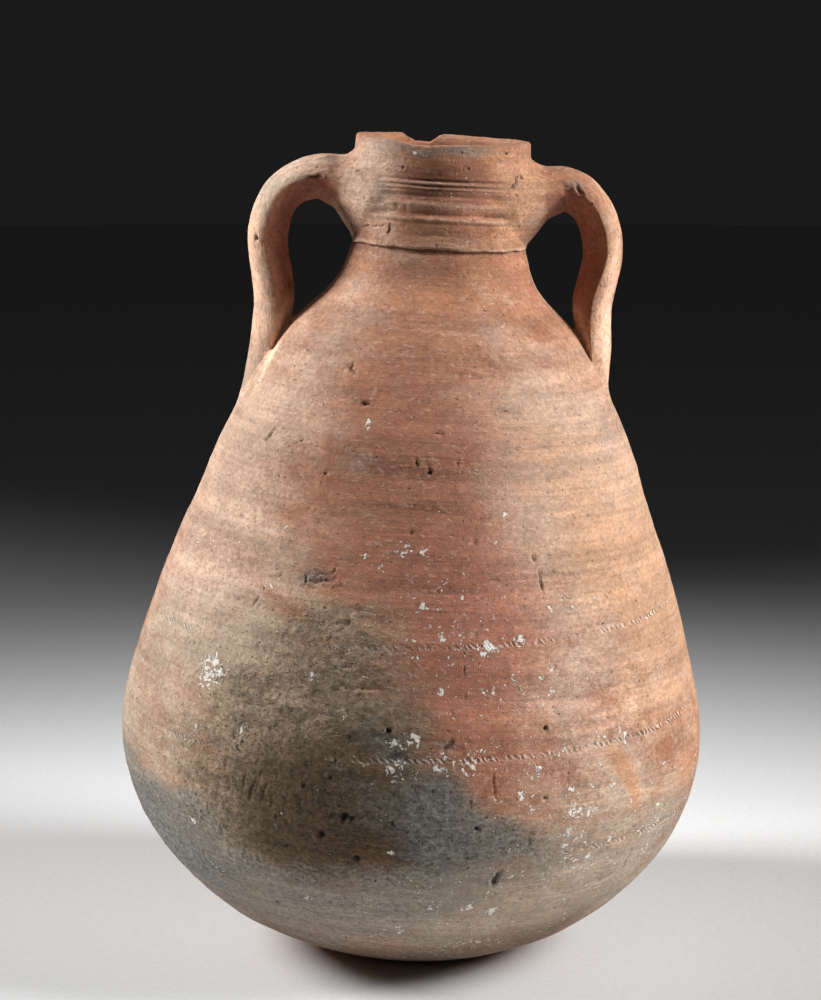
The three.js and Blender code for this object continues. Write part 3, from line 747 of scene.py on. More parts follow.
# The same for the sides that the photograph hides, with corners as turns in degrees and heights;
# here too the pale, whitish and pink patches under the side lamps are partly painted sheen and highlight.
HIDDEN_ZONES = {
    "pale": [
        (40, 0.8, [(-60, 330), (-85, 385), (-125, 395), (-160, 350), (-140, 290), (-165, 235),
                   (-120, 205), (-80, 215)]),
        (40, 0.7, [(70, 300), (85, 370), (120, 395), (150, 345), (128, 300), (140, 255), (100, 225),
                   (72, 240)]),
        (36, 0.5, [(185, 330), (205, 300), (238, 250), (215, 215), (190, 250)]),
    ],
    "chalk": [
        (30, 0.3, [(-75, 350), (-110, 360), (-130, 310), (-100, 260), (-72, 290)]),
        (30, 0.3, [(95, 345), (125, 360), (135, 310), (110, 280)]),
    ],
    "blush": [
        (30, 0.3, [(-150, 300), (-165, 330), (-185, 320), (-175, 270)]),
    ],
    "orange": [
        (40, 0.8, [(75, 215), (100, 235), (130, 215), (150, 165), (128, 120), (95, 110), (78, 150)]),
        (36, 0.6, [(-75, 170), (-100, 225), (-135, 215), (-150, 170), (-120, 130)]),
        (16, 0.5, [(120, 470), (170, 478), (230, 470), (240, 450), (180, 446), (125, 452)]),
    ],
    "red": [
        (34, 0.8, [(150, 235), (185, 260), (222, 225), (230, 165), (205, 135), (165, 150)]),
        (34, 0.5, [(165, 400), (200, 405), (225, 350), (190, 300), (160, 330)]),
        (20, 0.7, [(120, 474), (180, 478), (240, 474), (240, 430), (180, 426), (120, 430)]),
    ],
    "smoke": [
        (34, 0.8, [(140, 285), (180, 305), (222, 280), (212, 230), (160, 225)]),
        (24, 0.6, [(195, 375), (225, 385), (240, 350), (210, 325)]),
        (20, 0.7, [(140, 466), (215, 466), (220, 432), (140, 432)]),
    ],
    "beige": [
        (34, 0.8, [(62, 120), (90, 95), (130, 115), (150, 70), (120, 35), (80, 40), (62, 70)]),
        (34, 0.8, [(-70, 190), (-100, 165), (-130, 175), (-140, 120), (-100, 95), (-72, 120)]),
        (30, 0.7, [(170, 45), (215, 40), (250, 50), (240, 15), (180, 10)]),
    ],
    "rust": [
        (20, 0.5, [(98, 150), (112, 158), (118, 120), (104, 96)]),
    ],
    "olive": [
        (36, 0.8, [(140, 120), (165, 150), (200, 140), (232, 120), (240, 75), (200, 50), (155, 65)]),
        (30, 0.6, [(-62, 105), (-90, 125), (-110, 95), (-90, 60), (-64, 70)]),
    ],
    "umber": [
        (34, 0.8, [(160, 95), (190, 115), (222, 95), (215, 55), (175, 50)]),
        (26, 0.6, [(-60, 90), (-85, 95), (-95, 60), (-66, 48)]),
    ],
    "grey": [
        (24, 0.6, [(55, 62), (90, 50), (130, 60), (150, 30), (110, 8), (60, 12)]),
        (24, 0.7, [(130, 55), (180, 62), (235, 48), (240, 15), (180, 6), (135, 12)]),
        (24, 0.7, [(215, 60), (260, 70), (305, 62), (302, 14), (255, 8), (220, 14)]),
    ],
    "soot": [
        (14, 0.5, [(182, 85), (200, 92), (212, 70), (195, 55), (178, 66)]),
    ],
}
UNROLL_RADIUS = 150


def unrolled(points):
    """Turn and the run up the outside, for points on or near it."""
    above = np.maximum(points[:, 2] - NECK_BOTTOM, 0)
    return turn_of(points), np.interp(points[:, 2], BODY[:, 1], BODY_RUN) + above


class Zone:
    """A patch of fired colour or painted light with an uneven soft edge."""

    def __init__(self, soft, strength, corners):
        turn, run = unrolled(corners)
        self.soft, self.strength = soft, strength
        self.middle = np.angle(np.exp(1j * turn).mean())
        self.corners = np.column_stack([self.arc(turn), run])

    def arc(self, turn):
        apart = turn - self.middle
        return (apart - 2 * np.pi * np.round(apart / (2 * np.pi))) * UNROLL_RADIUS

    def cover(self, turn, run, fray):
        """Cover from 0 to the zone's strength, with the edge frayed by noise."""
        places = np.column_stack([self.arc(turn), run])
        nearest = np.full(len(places), np.inf)
        within = np.zeros(len(places), bool)
        for start, end in zip(self.corners, np.roll(self.corners, -1, axis=0)):
            side = end - start
            away = places - start
            share = np.clip(away @ side / (side @ side), 0, 1)
            nearest = np.minimum(nearest, np.hypot(*(away - share[:, None] * side).T))
            crossing = (places[:, 1] < start[1]) != (places[:, 1] < end[1])
            rise = side[1] if side[1] else 1.0
            within ^= crossing & (away[:, 0] < away[:, 1] * side[0] / rise)
        depth = np.where(within, nearest, -nearest) + fray * self.soft
        return self.strength * np.clip(0.5 + 0.5 * depth / self.soft, 0, 1)


def zone_parts(name):
    """The patches of one fired colour, in front and on the hidden sides."""
    parts = [Zone(soft, strength, on_jar(pixels)) for soft, strength, pixels in FRONT_ZONES[name]]
    for soft, strength, places in HIDDEN_ZONES[name]:
        parts.append(Zone(soft, strength, np.array([at_turn(*place) for place in places])))
    return parts


ZONES = {name: zone_parts(name) for name in FRONT_ZONES}


def fired_zones(points):
    """Strength of each fired colour, some partly painted light, at points of the outside, from 0 to 1."""
    turn, run = unrolled(points)
    turn = turn + 5 / UNROLL_RADIUS * fractal(points, 48, 80, 2)
    run = run + 4 * fractal(points, 40, 85, 2)
    fray = 0.45 * fractal(points * (0.5, 0.5, 1.4), 16, 90)
    zones = {}
    for name, parts in ZONES.items():
        bare = np.ones(len(points))
        for part in parts:
            bare *= 1 - part.cover(turn, run, fray)
        zones[name] = 1 - bare
    return zones


# Relief of the worked clay

def cord_gap(points):
    """Height off the cord's line and the arc along it, with 0 to 1 for how clear the print is."""
    turn = np.degrees(turn_of(points))
    wander = 1.6 * noise(points * (1, 1, 0.2), 110, 31)
    winds = np.round((points[:, 2] - CORD_FRONT_HEIGHT) / CORD_PITCH - turn / 360)
    wound = turn + 360 * winds
    line = CORD_FRONT_HEIGHT + CORD_PITCH * wound / 360 + wander
    begun = smooth_step(wound, CORD_FIRST_TURN - 10, CORD_FIRST_TURN)
    left = smooth_step(-wound, -CORD_LAST_TURN, 12 - CORD_LAST_TURN)
    patchy = 0.05 + 0.9 * noise(points * (1, 1, 0.3), 60, 32) + 0.7 * smooth_step(turn, -20, 4)
    arc = np.radians(turn) * np.hypot(points[:, 0], points[:, 1])
    return points[:, 2] - line, arc, begun * left * np.clip(patchy, 0.1, 1)


def cord_print(points):
    """Depth of the cord's groove, and where each point lies across and along it."""
    off, arc, clear = cord_gap(points)
    groove = CORD_DEPTH * clear * np.exp(-(off / CORD_WIDTH) ** 2)
    return groove, dict(cord=clear, cord_off=np.clip(off, -8, 8), cord_arc=arc)


def worked_relief(points):
    """Height of the thrown and worn outside over its smooth form."""
    height = points[:, 2]
    on_shoulder = smooth_step(height, 190, 260)
    on_base = 1 - smooth_step(height, 30, 110)
    come_and_go = 0.75 + 0.6 * noise(points, 120, 11)
    swell = 0.8 * noise(points, 210, 1) + 0.4 * noise(points, 85, 2) + 0.16 * noise(points, 32, 3)
    swell = swell * (1 - 0.6 * smooth_step(height, 400, 430))
    ridges = 0.5 * wheel_noise(points, 19, 4) + 0.3 * wheel_noise(points, 8.5, 5)
    ridges = ridges + 0.1 * wheel_noise(points, 3.4, 6, 0.1)
    fine = 0.14 * noise(points, 9, 7) + 0.09 * noise(points, 4, 8)
    pocks = 1.1 * np.clip(noise(points, 4.6, 10) - 0.42, 0, 1)
    grit = 0.3 * np.clip(noise(points, 5, 9) - 0.3, 0, 1) - pocks
    ridges = ridges * come_and_go * (0.55 + 0.45 * on_shoulder - 0.35 * on_base)
    at_lip = smooth_step(height, RIM_FOOT + 8, RIM_TOP - 2)
    return (swell + ridges + fine + grit) * (1 - 0.65 * at_lip)


def scuffed_relief(points, smoked):
    """Coarse dragged and pitted skin of the smoked clay low on the jar."""
    slanted = points * (0.45, 0.45, 1.0) + points[:, [2, 2, 0]] * (0.0, 0.0, 0.25)
    drag = 0.34 * noise(slanted, 3.8, 21) + 0.26 * noise(points, 2.8, 22)
    pocked = 1.3 * np.clip(noise(points, 3.6, 24) - 0.34, 0, 1)
    coarse = 0.4 * noise(points, 14, 23) - pocked
    return smooth_step(smoked, 0.3, 0.8) * (drag + coarse)


def neck_grooves(points):
    """Height of the neck's turned grooves and ridges, and of the hollow under its foot."""
    rise = points[:, 2] - NECK_BOTTOM + 0.6 * noise(points * (1, 1, 0.3), 45, 41)
    worn = 0.72 + 0.6 * noise(points * (1, 1, 2), 26, 42)
    grooves = np.zeros(len(points))
    for middle, depth, half_width in NECK_GROOVES:
        grooves += depth * worn * np.exp(-((rise - middle) / half_width) ** 2)
    drop, depth, half_width = LEDGE_UNDERCUT
    undercut = -depth * np.exp(-((rise + drop) / half_width) ** 2)
    return np.where(points[:, 2] > NECK_BOTTOM, grooves, undercut)


def inside_relief(points):
    """Finger rills inside the jar."""
    return 0.9 * wheel_noise(points, 13, 51) + 0.4 * noise(points, 30, 52)


# Meshes

OUTSIDE, INSIDE, JOINT = 1, 2, 0
# Fields of a section's row, which holds radius, height, normal out, normal up, skin and columns
RADIUS, SKIN, COUNT = 0, 4, 5


def stretch(points, normals, skin, columns):
    """Rows of a section: radius, height, normal, skin and columns."""
    count = len(points)
    return np.column_stack([points, normals, np.full(count, skin), np.full(count, columns)])


def steps(start, end, spacing):
    return np.linspace(start, end, max(2, int(round(abs(end - start) / spacing)) + 1))


def joint(start, end, columns):
    """Rows across a luted joint between two section rows, with given columns."""
    share = np.linspace(0, 1, len(columns) + 2)[1:-1, None]
    points = start[:2] * (1 - share) + end[:2] * share
    rows = stretch(points, np.zeros_like(points), JOINT, 1)
    rows[:, COUNT] = columns
    return rows


def stitch(rows, closed):
    """Faces between neighbouring rows as corners (vertex, share of a turn, share of the section)."""
    columns = rows[:, COUNT].astype(int)
    first = np.cumsum(columns) - columns
    lengths = np.linalg.norm(np.diff(np.vstack([rows, rows[:1]])[:, :2], axis=0), axis=1)
    share = np.concatenate([[0], np.cumsum(lengths)]) / lengths.sum()
    quads, triangles = [], []

    def corner(row, column):
        row_of = row % len(rows)
        number = first[row_of] + column % columns[row_of]
        return np.column_stack([number, column / columns[row_of], np.full(len(column), share[row])])

    def pole(row, column, count):
        middle = np.full(len(column), first[row])
        return np.column_stack([middle, (column + 0.5) / count, np.full(len(column), share[row])])

    for low in range(len(rows) if closed else len(rows) - 1):
        high = low + 1
        below, above = columns[low], columns[high % len(rows)]
        step = np.arange(min(below, above) if min(below, above) > 1 else max(below, above))
        if below == above:
            ring = [corner(low, step), corner(low, step + 1), corner(high, step + 1), corner(high, step)]
            quads.append(np.stack(ring, 1))
            continue
        if below == 1:
            fan = [(pole(low, step, above), corner(high, step + 1), corner(high, step))]
        elif above == 1:
            fan = [(corner(low, step), corner(low, step + 1), pole(high, step, below))]
        elif below == 2 * above:
            left, mid, right = (corner(low, 2 * step + k) for k in range(3))
            over, next_over = corner(high, step), corner(high, step + 1)
            fan = [(left, mid, over), (mid, next_over, over), (mid, right, next_over)]
        else:
            left, mid, right = (corner(high, 2 * step + k) for k in range(3))
            under, next_under = corner(low, step), corner(low, step + 1)
            fan = [(under, mid, left), (under, next_under, mid), (next_under, right, mid)]
        triangles += [np.stack(corners, 1) for corners in fan]
    return np.concatenate(quads), np.concatenate(triangles) if triangles else np.zeros((0, 3, 3))


def lathe(rows):
    """Vertices of section rows turned about the axis: points, normals, skin, and the row of each."""
    columns = rows[:, COUNT].astype(int)
    row_of = np.repeat(np.arange(len(rows)), columns)
    column = np.arange(len(row_of)) - np.repeat(np.cumsum(columns) - columns, columns)
    turn = 2 * np.pi * column / columns[row_of]
    sine, cosine = np.sin(turn), -np.cos(turn)
    radius, height, out, up, skin, _ = rows[row_of].T
    points = np.column_stack([radius * sine, radius * cosine, height])
    normals = np.column_stack([out * sine, out * cosine, up])
    return points, normals, skin, row_of


def make_piece(name, points, faces, attributes, sharp_rows=(), row_of=None):
    """Mesh object of a closed skin, with its unrolled map and its surface values."""
    corners = np.concatenate([group.reshape(-1, 3) for group in faces])
    sizes = np.concatenate([np.full(len(group), group.shape[1]) for group in faces])
    mesh = bpy.data.meshes.new(name)
    mesh.vertices.add(len(points))
    mesh.vertices.foreach_set("co", to_world(points).ravel())
    mesh.loops.add(len(corners))
    mesh.loops.foreach_set("vertex_index", corners[:, 0].astype(np.int32))
    mesh.polygons.add(len(sizes))
    mesh.polygons.foreach_set("loop_start", (np.cumsum(sizes) - sizes).astype(np.int32))
    mesh.update(calc_edges=True)
    mesh.shade_smooth()
    mesh.uv_layers.new(name="OFBake").data.foreach_set("uv", corners[:, 1:].ravel())
    for key, values in attributes.items():
        kind, field = ("FLOAT_VECTOR", "vector") if values.ndim == 2 else ("FLOAT", "value")
        layer = mesh.attributes.new(key, kind, "POINT")
        layer.data.foreach_set(field, values.astype(np.float32).ravel())
    if len(sharp_rows):
        ends = np.zeros(2 * len(mesh.edges), np.int32)
        mesh.edges.foreach_get("vertices", ends)
        rows = row_of[ends.reshape(-1, 2)]
        sharp = (rows[:, 0] == rows[:, 1]) & np.isin(rows[:, 0], sharp_rows)
        mesh.attributes.new("sharp_edge", "BOOLEAN", "EDGE").data.foreach_set("value", sharp)
    piece = bpy.data.objects.new(name, mesh)
    bpy.context.scene.collection.objects.link(piece)
    return piece


def surface_values(points, hollow, zones, outside):
    """What the material reads at each vertex: fired colours with painted light, lime, hollows for painted
    shade, and the place on the jar.
    """
    turn, height = turn_of(points), points[:, 2]
    low = 1 - smooth_step(height, 120, 175)
    front = np.exp(-((turn - 0.1) / 0.36) ** 2) * (1 - smooth_step(height, 215, 310))
    lime = 0.12 + 0.30 * low * smooth_step(turn, -0.35, 0.1) + 0.30 * (1 - low) * front
    lime = (lime + 0.3 * fractal(points, 26, 71)) * (1 - 0.7 * zones["soot"])
    for place, (_, half_width, thick) in zip(LIME_PLACES, LIME_SPOTS):
        near = np.flatnonzero(np.abs(points - place).max(axis=1) < 3 * half_width)
        gap = np.linalg.norm(points[near] - place, axis=1) / (LIME_SPREAD * half_width)
        lump = thick * np.exp(-gap ** 2)
        lime[near] = np.maximum(lime[near], lump)
    values = {zone: value * outside for zone, value in zones.items()}
    values.update(lime=np.clip(lime, 0, 0.92) * outside, hollow=np.clip(hollow, 0, 2), place=points)
    return values


def smeared_relief(points):
    """Finger-smeared skin, shared by the body and the handles where they join."""
    return 0.35 * noise(points, 20, 61) + 0.16 * noise(points, 8, 62) + 0.07 * noise(points, 3.4, 63)


def dress(points, normals, skin):
    """Body points moved by the worked relief and the lutings, and the material's values there."""
    outside = (skin == OUTSIDE).astype(float)
    placed, rise, worked = points.copy(), np.zeros(len(points)), np.ones(len(points))
    for strap in STRAPS.values():
        near = np.flatnonzero((strap.distance(points) < LUTED_WITHIN) & (skin == OUTSIDE))
        joined = lute(points[near], normals[near], outside_distance, strap.distance, BODY_TUCK)
        rise[near], past, placed[near] = joined
        worked[near] = smooth_step(np.abs(past), *SMEARED)
    zones = fired_zones(placed)
    print_depth, cord = cord_print(points)
    smoked = np.maximum(zones["olive"], zones["umber"])
    cut = MARKS.depth_at(points)
    grooves = worked * neck_grooves(points)
    relief = worked * (worked_relief(points) + scuffed_relief(points, smoked)) + grooves
    relief += (1 - worked) * smeared_relief(placed)
    offset = outside * (relief + rise - print_depth - cut) + (skin == INSIDE) * inside_relief(points)
    # Depth of the cuts and the neck's grooves, which the material darkens as painted shade
    hollow = cut + 0.75 * np.maximum(-grooves, 0) * (points[:, 2] > NECK_BOTTOM)
    values = surface_values(placed, hollow, zones, outside)
    # Tops of the neck's turned ridges, which the material lightens as a painted highlight
    values.update(cord, ridge=np.clip(grooves, 0, 1))
    return points + normals * offset[:, None], values


def turned_piece(name, rows, closed=True):
    """A ring or cap of the body, with worked skins and sharp joint edges."""
    points, normals, skin, row_of = lathe(rows)
    dressed, values = dress(points, normals, skin)
    skins = rows[:, SKIN]
    beside_joint = (np.roll(skins, 1) == JOINT) | (np.roll(skins, -1) == JOINT)
    sharp = np.flatnonzero((skins != JOINT) & beside_joint)
    return name, dressed, stitch(rows, closed), values, sharp, row_of


def wall_rows(start, end, spans, first_columns=None):
    """Section of a wall ring between two runs: outside up, joint in, inside down, joint out."""
    outer = []
    for low, high, count in spans:
        runs = steps(low, high, FINE_ROW if count == FINE_COLUMNS else ROW)
        outer.append(stretch(*along_body(runs if low == start else runs[1:]), OUTSIDE, count))
    outer = np.vstack(outer)
    if first_columns:
        outer[0, COUNT] = first_columns
    inner_runs = steps(end + SCARF_LAP, start + SCARF_LAP, INSIDE_ROW)
    inner_runs = np.minimum(inner_runs, WALL_TOP_RUN)
    points, normals = along_body(inner_runs, wall_at(inner_runs))
    inner = stretch(points, -normals, INSIDE, INSIDE_COLUMNS)
    return np.vstack([
        outer, joint(outer[-1], inner[0], halvings(outer[-1, COUNT])),
        inner, joint(inner[-1], outer[0], halvings(outer[0, COUNT])[::-1]),
    ])


def halvings(columns):
    """Column counts that lead from an outside row to the inside's."""
    counts = []
    while columns > 2 * INSIDE_COLUMNS:
        columns //= 2
        counts.append(columns)
    return counts or [INSIDE_COLUMNS]


def base_rows():
    """Section of the base: outside from its middle, joint in, inside back to the middle."""
    runs = steps(0, BASE_EDGE_RUN, ROW)
    outer = stretch(*along_body(runs), OUTSIDE, COLUMNS)
    for k, row in enumerate(outer):
        widest = COLUMNS
        while widest > POLE_COLUMNS and 2 * np.pi * row[RADIUS] / widest < LEAST_FACET:
            widest //= 2
        row[COUNT] = max(1, min(widest, POLE_COLUMNS * 2 ** (k - 1))) if k else 1
    outer[-1, COUNT] = COLUMNS
    inner_runs = steps(BASE_EDGE_RUN + SCARF_LAP, 0, INSIDE_ROW)
    points, normals = along_body(inner_runs, wall_at(inner_runs))
    inner = stretch(points, -normals, INSIDE, INSIDE_COLUMNS)
    inner[-1, RADIUS] = 0
    inner[-3:, COUNT] = (2 * POLE_COLUMNS, POLE_COLUMNS, 1)
    return np.vstack([outer, joint(outer[-1], inner[0], halvings(COLUMNS)), inner])


def neck_rows():
    """Section of the neck: outside up, over the lip, down the bore and out along the joint."""
    line = evenly(NECK_LINE, NECK_ROW)
    slopes = np.gradient(line, axis=0)
    normals = np.column_stack([slopes[:, 1], -slopes[:, 0]])
    normals /= np.linalg.norm(normals, axis=1)[:, None]
    outer = stretch(line, normals, OUTSIDE, COLUMNS)
    depths = steps(line[-1, 1] - 1.5, NECK_BOTTOM + SCARF_LAP, 1.5)
    bore = np.column_stack([np.full(len(depths), NECK_BORE), depths])
    inner = stretch(bore, np.tile([-1.0, 0.0], (len(depths), 1)), INSIDE, COLUMNS)
    return np.vstack([outer, inner, joint(inner[-1], outer[0], [COLUMNS] * 3)])


def ledge_rows():
    """Section of the clay roll: an overhanging lip below, feathered onto the neck above."""
    share = np.linspace(0, 1, LEDGE_ROWS)
    drop = NECK_BOTTOM - LEDGE_DROP
    height = drop + (LEDGE_DROP + LEDGE_FEATHER) * share ** 1.25
    proud = LEDGE_PROUD * np.sin(np.pi * share ** 0.42) ** 0.7 * (1 - share) ** 0.35
    front = np.column_stack([NECK_RADIUS - LEDGE_SINK + proud, height])
    down = np.linspace(height[-1] - 1, drop + 0.6, LEDGE_BACK_ROWS)
    back = np.column_stack([np.full(LEDGE_BACK_ROWS, NECK_RADIUS - LEDGE_BACK), down])
    flat = np.tile([1.0, 0.0], (LEDGE_ROWS, 1))
    behind = stretch(back, -flat[:LEDGE_BACK_ROWS], JOINT, COLUMNS)
    return np.vstack([stretch(front, flat, OUTSIDE, COLUMNS), behind])


def chip_lip(points):
    """Rim set off the axis, worn down and notched; gives which points are broken."""
    turn = np.degrees(turn_of(points))
    level = points * (1, 1, 0)
    up_rim = smooth_step(points[:, 2], RIM_FOOT + 4, RIM_TOP)
    sag = -0.5 * noise(level, 36, 91) - 0.25 * noise(level, 9, 96)
    for middle, half_width, depth in LIP_WEAR:
        sag += depth * np.exp(-((turn - middle) / half_width) ** 2)
    points[:, 2] -= sag * up_rim
    points[:, 0] += RIM_OFFSET * smooth_step(points[:, 2], NECK_BOTTOM + 10, RIM_TOP)
    middle, half_top, half_floor, depth = LIP_NOTCH
    arc = np.radians((turn - middle + 180) % 360 - 180) * LIP_RADIUS
    arc = np.abs(arc + 1.4 * noise(level, 7, 92))
    bite = (depth + LIP_MARGIN) * (1 - np.clip((arc - half_floor) / (half_top - half_floor), 0, 1))
    top = RIM_TOP + LIP_MARGIN - bite * (1 + 0.15 * noise(level, 6, 93))
    broken = points[:, 2] > top
    ragged = 0.5 * noise(points, 3.5, 94) + 0.3 * noise(points, 1.6, 95)
    points[broken, 2] = (top + ragged)[broken]
    return broken


def outward(grid):
    """Normals of a strap's skin, by station and column."""
    along = np.gradient(grid, axis=0)
    around = np.roll(grid, -1, axis=1) - np.roll(grid, 1, axis=1)
    normals = np.cross(around, along)
    return normals / np.maximum(np.linalg.norm(normals, axis=2)[..., None], 1e-9)


def pulled_relief(points):
    """Lumpy, pocked skin of a handle pulled by hand."""
    pulled = 0.7 * noise(points, 46, 101) + 0.45 * noise(points, 18, 102)
    kneaded = 0.2 * noise(points, 8, 103) + 0.09 * noise(points, 3.2, 104)
    pocks = 0.8 * np.clip(noise(points, 4.4, 105) - 0.5, 0, 1)
    return pulled + kneaded - pocks


def end_fans(count, rings, first_end):
    """Faces that close a strap's two ends, each as a fan about its middle."""
    step = np.arange(count)
    turn = step / count
    fans = []
    for ring, end, flip in ((0, first_end, True), (rings - 1, first_end + 1, False)):
        rim = np.column_stack([ring * count + step, turn, np.full(count, ring / rings)])
        after = np.column_stack([ring * count + (step + 1) % count, turn + 1 / count, rim[:, 2]])
        middle = np.column_stack([np.full(count, end), turn, rim[:, 2]])
        fans.append(np.stack([after, rim, middle] if flip else [rim, after, middle], 1))
    return np.concatenate(fans)


def strap_values(strap, moved, cut, worked):
    """What the material reads on a handle, whose inner face is painted in shade: its light fired colours
    taken off, red put on.
    """
    values = surface_values(moved, cut, fired_zones(moved), np.ones(len(moved)))
    stations = len(strap.path)
    # Painted shade on the inner face, which the lamps hardly reach past the neck and shoulder
    inner = np.tile(smooth_step(-np.cos(strap.angles()), -0.1, 0.3), stations) * worked
    for zone in ("pale", "chalk", "blush", "beige", "orange"):
        values[zone] = values[zone] * (1 - 0.85 * inner)
    values["red"] = np.maximum(values["red"], 0.7 * inner)
    return values


def strap_piece(name):
    """A handle with its worked skin, drawn into the luting on neck and shoulder."""
    strap = STRAPS[name]
    grid = strap.skin()
    points, normals = grid.reshape(-1, 3), outward(grid).reshape(-1, 3)
    ends = np.array([grid[0].mean(axis=0), grid[-1].mean(axis=0)])
    rise, past, moved = np.zeros(len(points)), np.full(len(points), np.inf), points.copy()
    near = np.flatnonzero(outside_distance(points) < LUTED_WITHIN)
    joined = lute(points[near], normals[near], strap.distance, outside_distance, STRAP_TUCK)
    rise[near], past[near], moved[near] = joined
    worked = smooth_step(np.abs(past), *SMEARED)
    relief = worked * pulled_relief(points) + (1 - worked) * smeared_relief(moved)
    cut = MARKS.depth_at(points)
    offset = relief - cut + rise
    values = strap_values(strap, moved, cut, worked)
    values["place"] = strap.straightened() + moved - points
    values = {key: np.concatenate([v, v[[0, 0]]]) for key, v in values.items()}
    rows = np.zeros((len(grid), 6))
    rows[:, RADIUS] = runs_along(strap.path)
    rows[:, COUNT] = strap.COLUMNS
    quads, _ = stitch(rows, closed=False)
    fans = end_fans(strap.COLUMNS, len(grid), len(points))
    points = np.vstack([points + normals * offset[:, None], ends])
    return name, points, (quads, fans), values, (), None


def body_pieces():
    """Every piece of the jar as name, points, faces, values, sharp rows and rows."""
    yield turned_piece("base_disc", base_rows(), closed=False)
    bowl = [(BASE_EDGE_RUN, BOWL_SEAM_RUN, COLUMNS)]
    yield turned_piece("base_bowl", wall_rows(BASE_EDGE_RUN, BOWL_SEAM_RUN, bowl))
    belly = [(BOWL_SEAM_RUN, SHOULDER_SEAM_RUN, FINE_COLUMNS)]
    yield turned_piece("belly_wall", wall_rows(BOWL_SEAM_RUN, SHOULDER_SEAM_RUN, belly, COLUMNS))
    shoulder = [(SHOULDER_SEAM_RUN, FINE_TOP_RUN, FINE_COLUMNS), (FINE_TOP_RUN, WALL_TOP_RUN, COLUMNS)]
    yield turned_piece("shoulder_wall", wall_rows(SHOULDER_SEAM_RUN, WALL_TOP_RUN, shoulder))
    yield neck_piece()
    yield ledge_piece()
    for name in STRAPS:
        yield strap_piece(name)


def neck_piece():
    """The neck with its broken lip, which shows fresh clay."""
    name, points, faces, values, sharp, row_of = turned_piece("neck_collar", neck_rows())
    broken = chip_lip(points)
    values["fresh"] = broken.astype(float)
    return name, points, faces, values, sharp, row_of


def ledge_piece():
    """The clay roll, with a lower edge that wanders as it was smeared down."""
    name, points, faces, values, sharp, row_of = turned_piece("neck_seam_coil", ledge_rows())
    level = points * (1, 1, 0)
    wander = 0.9 * noise(level, 34, 111) + 0.7 * noise(level, 11, 112) + 0.3 * noise(level, 4, 113)
    # Painted highlight along the roll's lower edge
    values["ridge"] = 1 - smooth_step(points[:, 2], NECK_BOTTOM - LEDGE_DROP + 0.5, NECK_BOTTOM + 1.5)
    points[:, 2] += wander
    return name, points, faces, values, sharp, row_of


# Materials

class Graph:
    """Shorthand for building a node tree."""

    def __init__(self, tree):
        self.tree = tree

    def add(self, kind, inputs=None, **settings):
        node = self.tree.nodes.new(kind)
        for key, value in settings.items():
            setattr(node, key, value)
        for key, value in (inputs or {}).items():
            self.feed(node.inputs[key], value)
        return node

    def feed(self, socket, value):
        """Link another socket to this one, or set its value."""
        if isinstance(value, bpy.types.NodeSocket):
            self.tree.links.new(value, socket)
        else:
            socket.default_value = value

    def value(self, name):
        return self.add("ShaderNodeAttribute", attribute_name=name).outputs["Fac"]

    def place(self, name):
        return self.add("ShaderNodeAttribute", attribute_name=name).outputs["Vector"]

    def math(self, operation, a, b=0.0, c=0.0):
        return self.add("ShaderNodeMath", {0: a, 1: b, 2: c}, operation=operation).outputs[0]

    def scaled(self, vector, factors):
        node = self.add("ShaderNodeVectorMath", {0: vector, 1: factors}, operation="MULTIPLY")
        return node.outputs[0]

    def noise(self, vector, wavelength, detail=2.0, roughness=0.5):
        inputs = {"Vector": vector, "Scale": 1 / wavelength, "Detail": detail, "Roughness": roughness}
        return self.add("ShaderNodeTexNoise", inputs).outputs["Fac"]

    def step(self, value, low, high, bottom=0.0, top=1.0):
        inputs = {0: value, 1: low, 2: high, 3: bottom, 4: top}
        return self.add("ShaderNodeMapRange", inputs, interpolation_type="SMOOTHSTEP").outputs[0]

    def mix(self, share, a, b, blend="MIX"):
        node = self.add("ShaderNodeMix", data_type="RGBA", blend_type=blend)
        for key, value in (("Factor_Float", share), ("A_Color", a), ("B_Color", b)):
            self.feed(next(s for s in node.inputs if s.identifier == key), value)
        return next(s for s in node.outputs if s.identifier == "Result_Color")


def colour(red, green, blue):
    return (red, green, blue, 1.0)


CLAY_BROWN = colour(0.312, 0.131, 0.069)
CLAY_TAN = colour(0.380, 0.175, 0.094)
# Pale clay and the painted sheen of the side lamps
PALE_AND_SHEEN = colour(0.455, 0.298, 0.210)
# Whitish painted highlight, with some dusty coat
CHALK_AND_HIGHLIGHT = colour(0.680, 0.468, 0.350)
# Pink painted highlight on the handles' outer faces
BLUSH_HIGHLIGHT = colour(0.780, 0.480, 0.325)
ORANGE = colour(0.462, 0.260, 0.151)
RED = colour(0.385, 0.155, 0.098)
SMOKE = colour(0.145, 0.060, 0.038)
BEIGE = colour(0.420, 0.332, 0.243)
RUST = colour(0.500, 0.240, 0.120)
DUST = colour(0.330, 0.245, 0.200)
OLIVE = colour(0.205, 0.153, 0.098)
DRAB = colour(0.315, 0.231, 0.152)
UMBER = colour(0.094, 0.060, 0.030)
GREY = colour(0.238, 0.214, 0.178)
SOOT = colour(0.165, 0.160, 0.137)
# Lime, also the painted highlight on the cord's raised beads
LIME_AND_BEAD_HIGHLIGHT = colour(0.950, 0.910, 0.850)
DULL_LIME = colour(0.660, 0.580, 0.500)
# Painted shade in hollows, pits, dents and at the crumbs' edges
HOLLOW_SHADE = colour(0.030, 0.020, 0.015)
FRESH = colour(0.400, 0.150, 0.090)


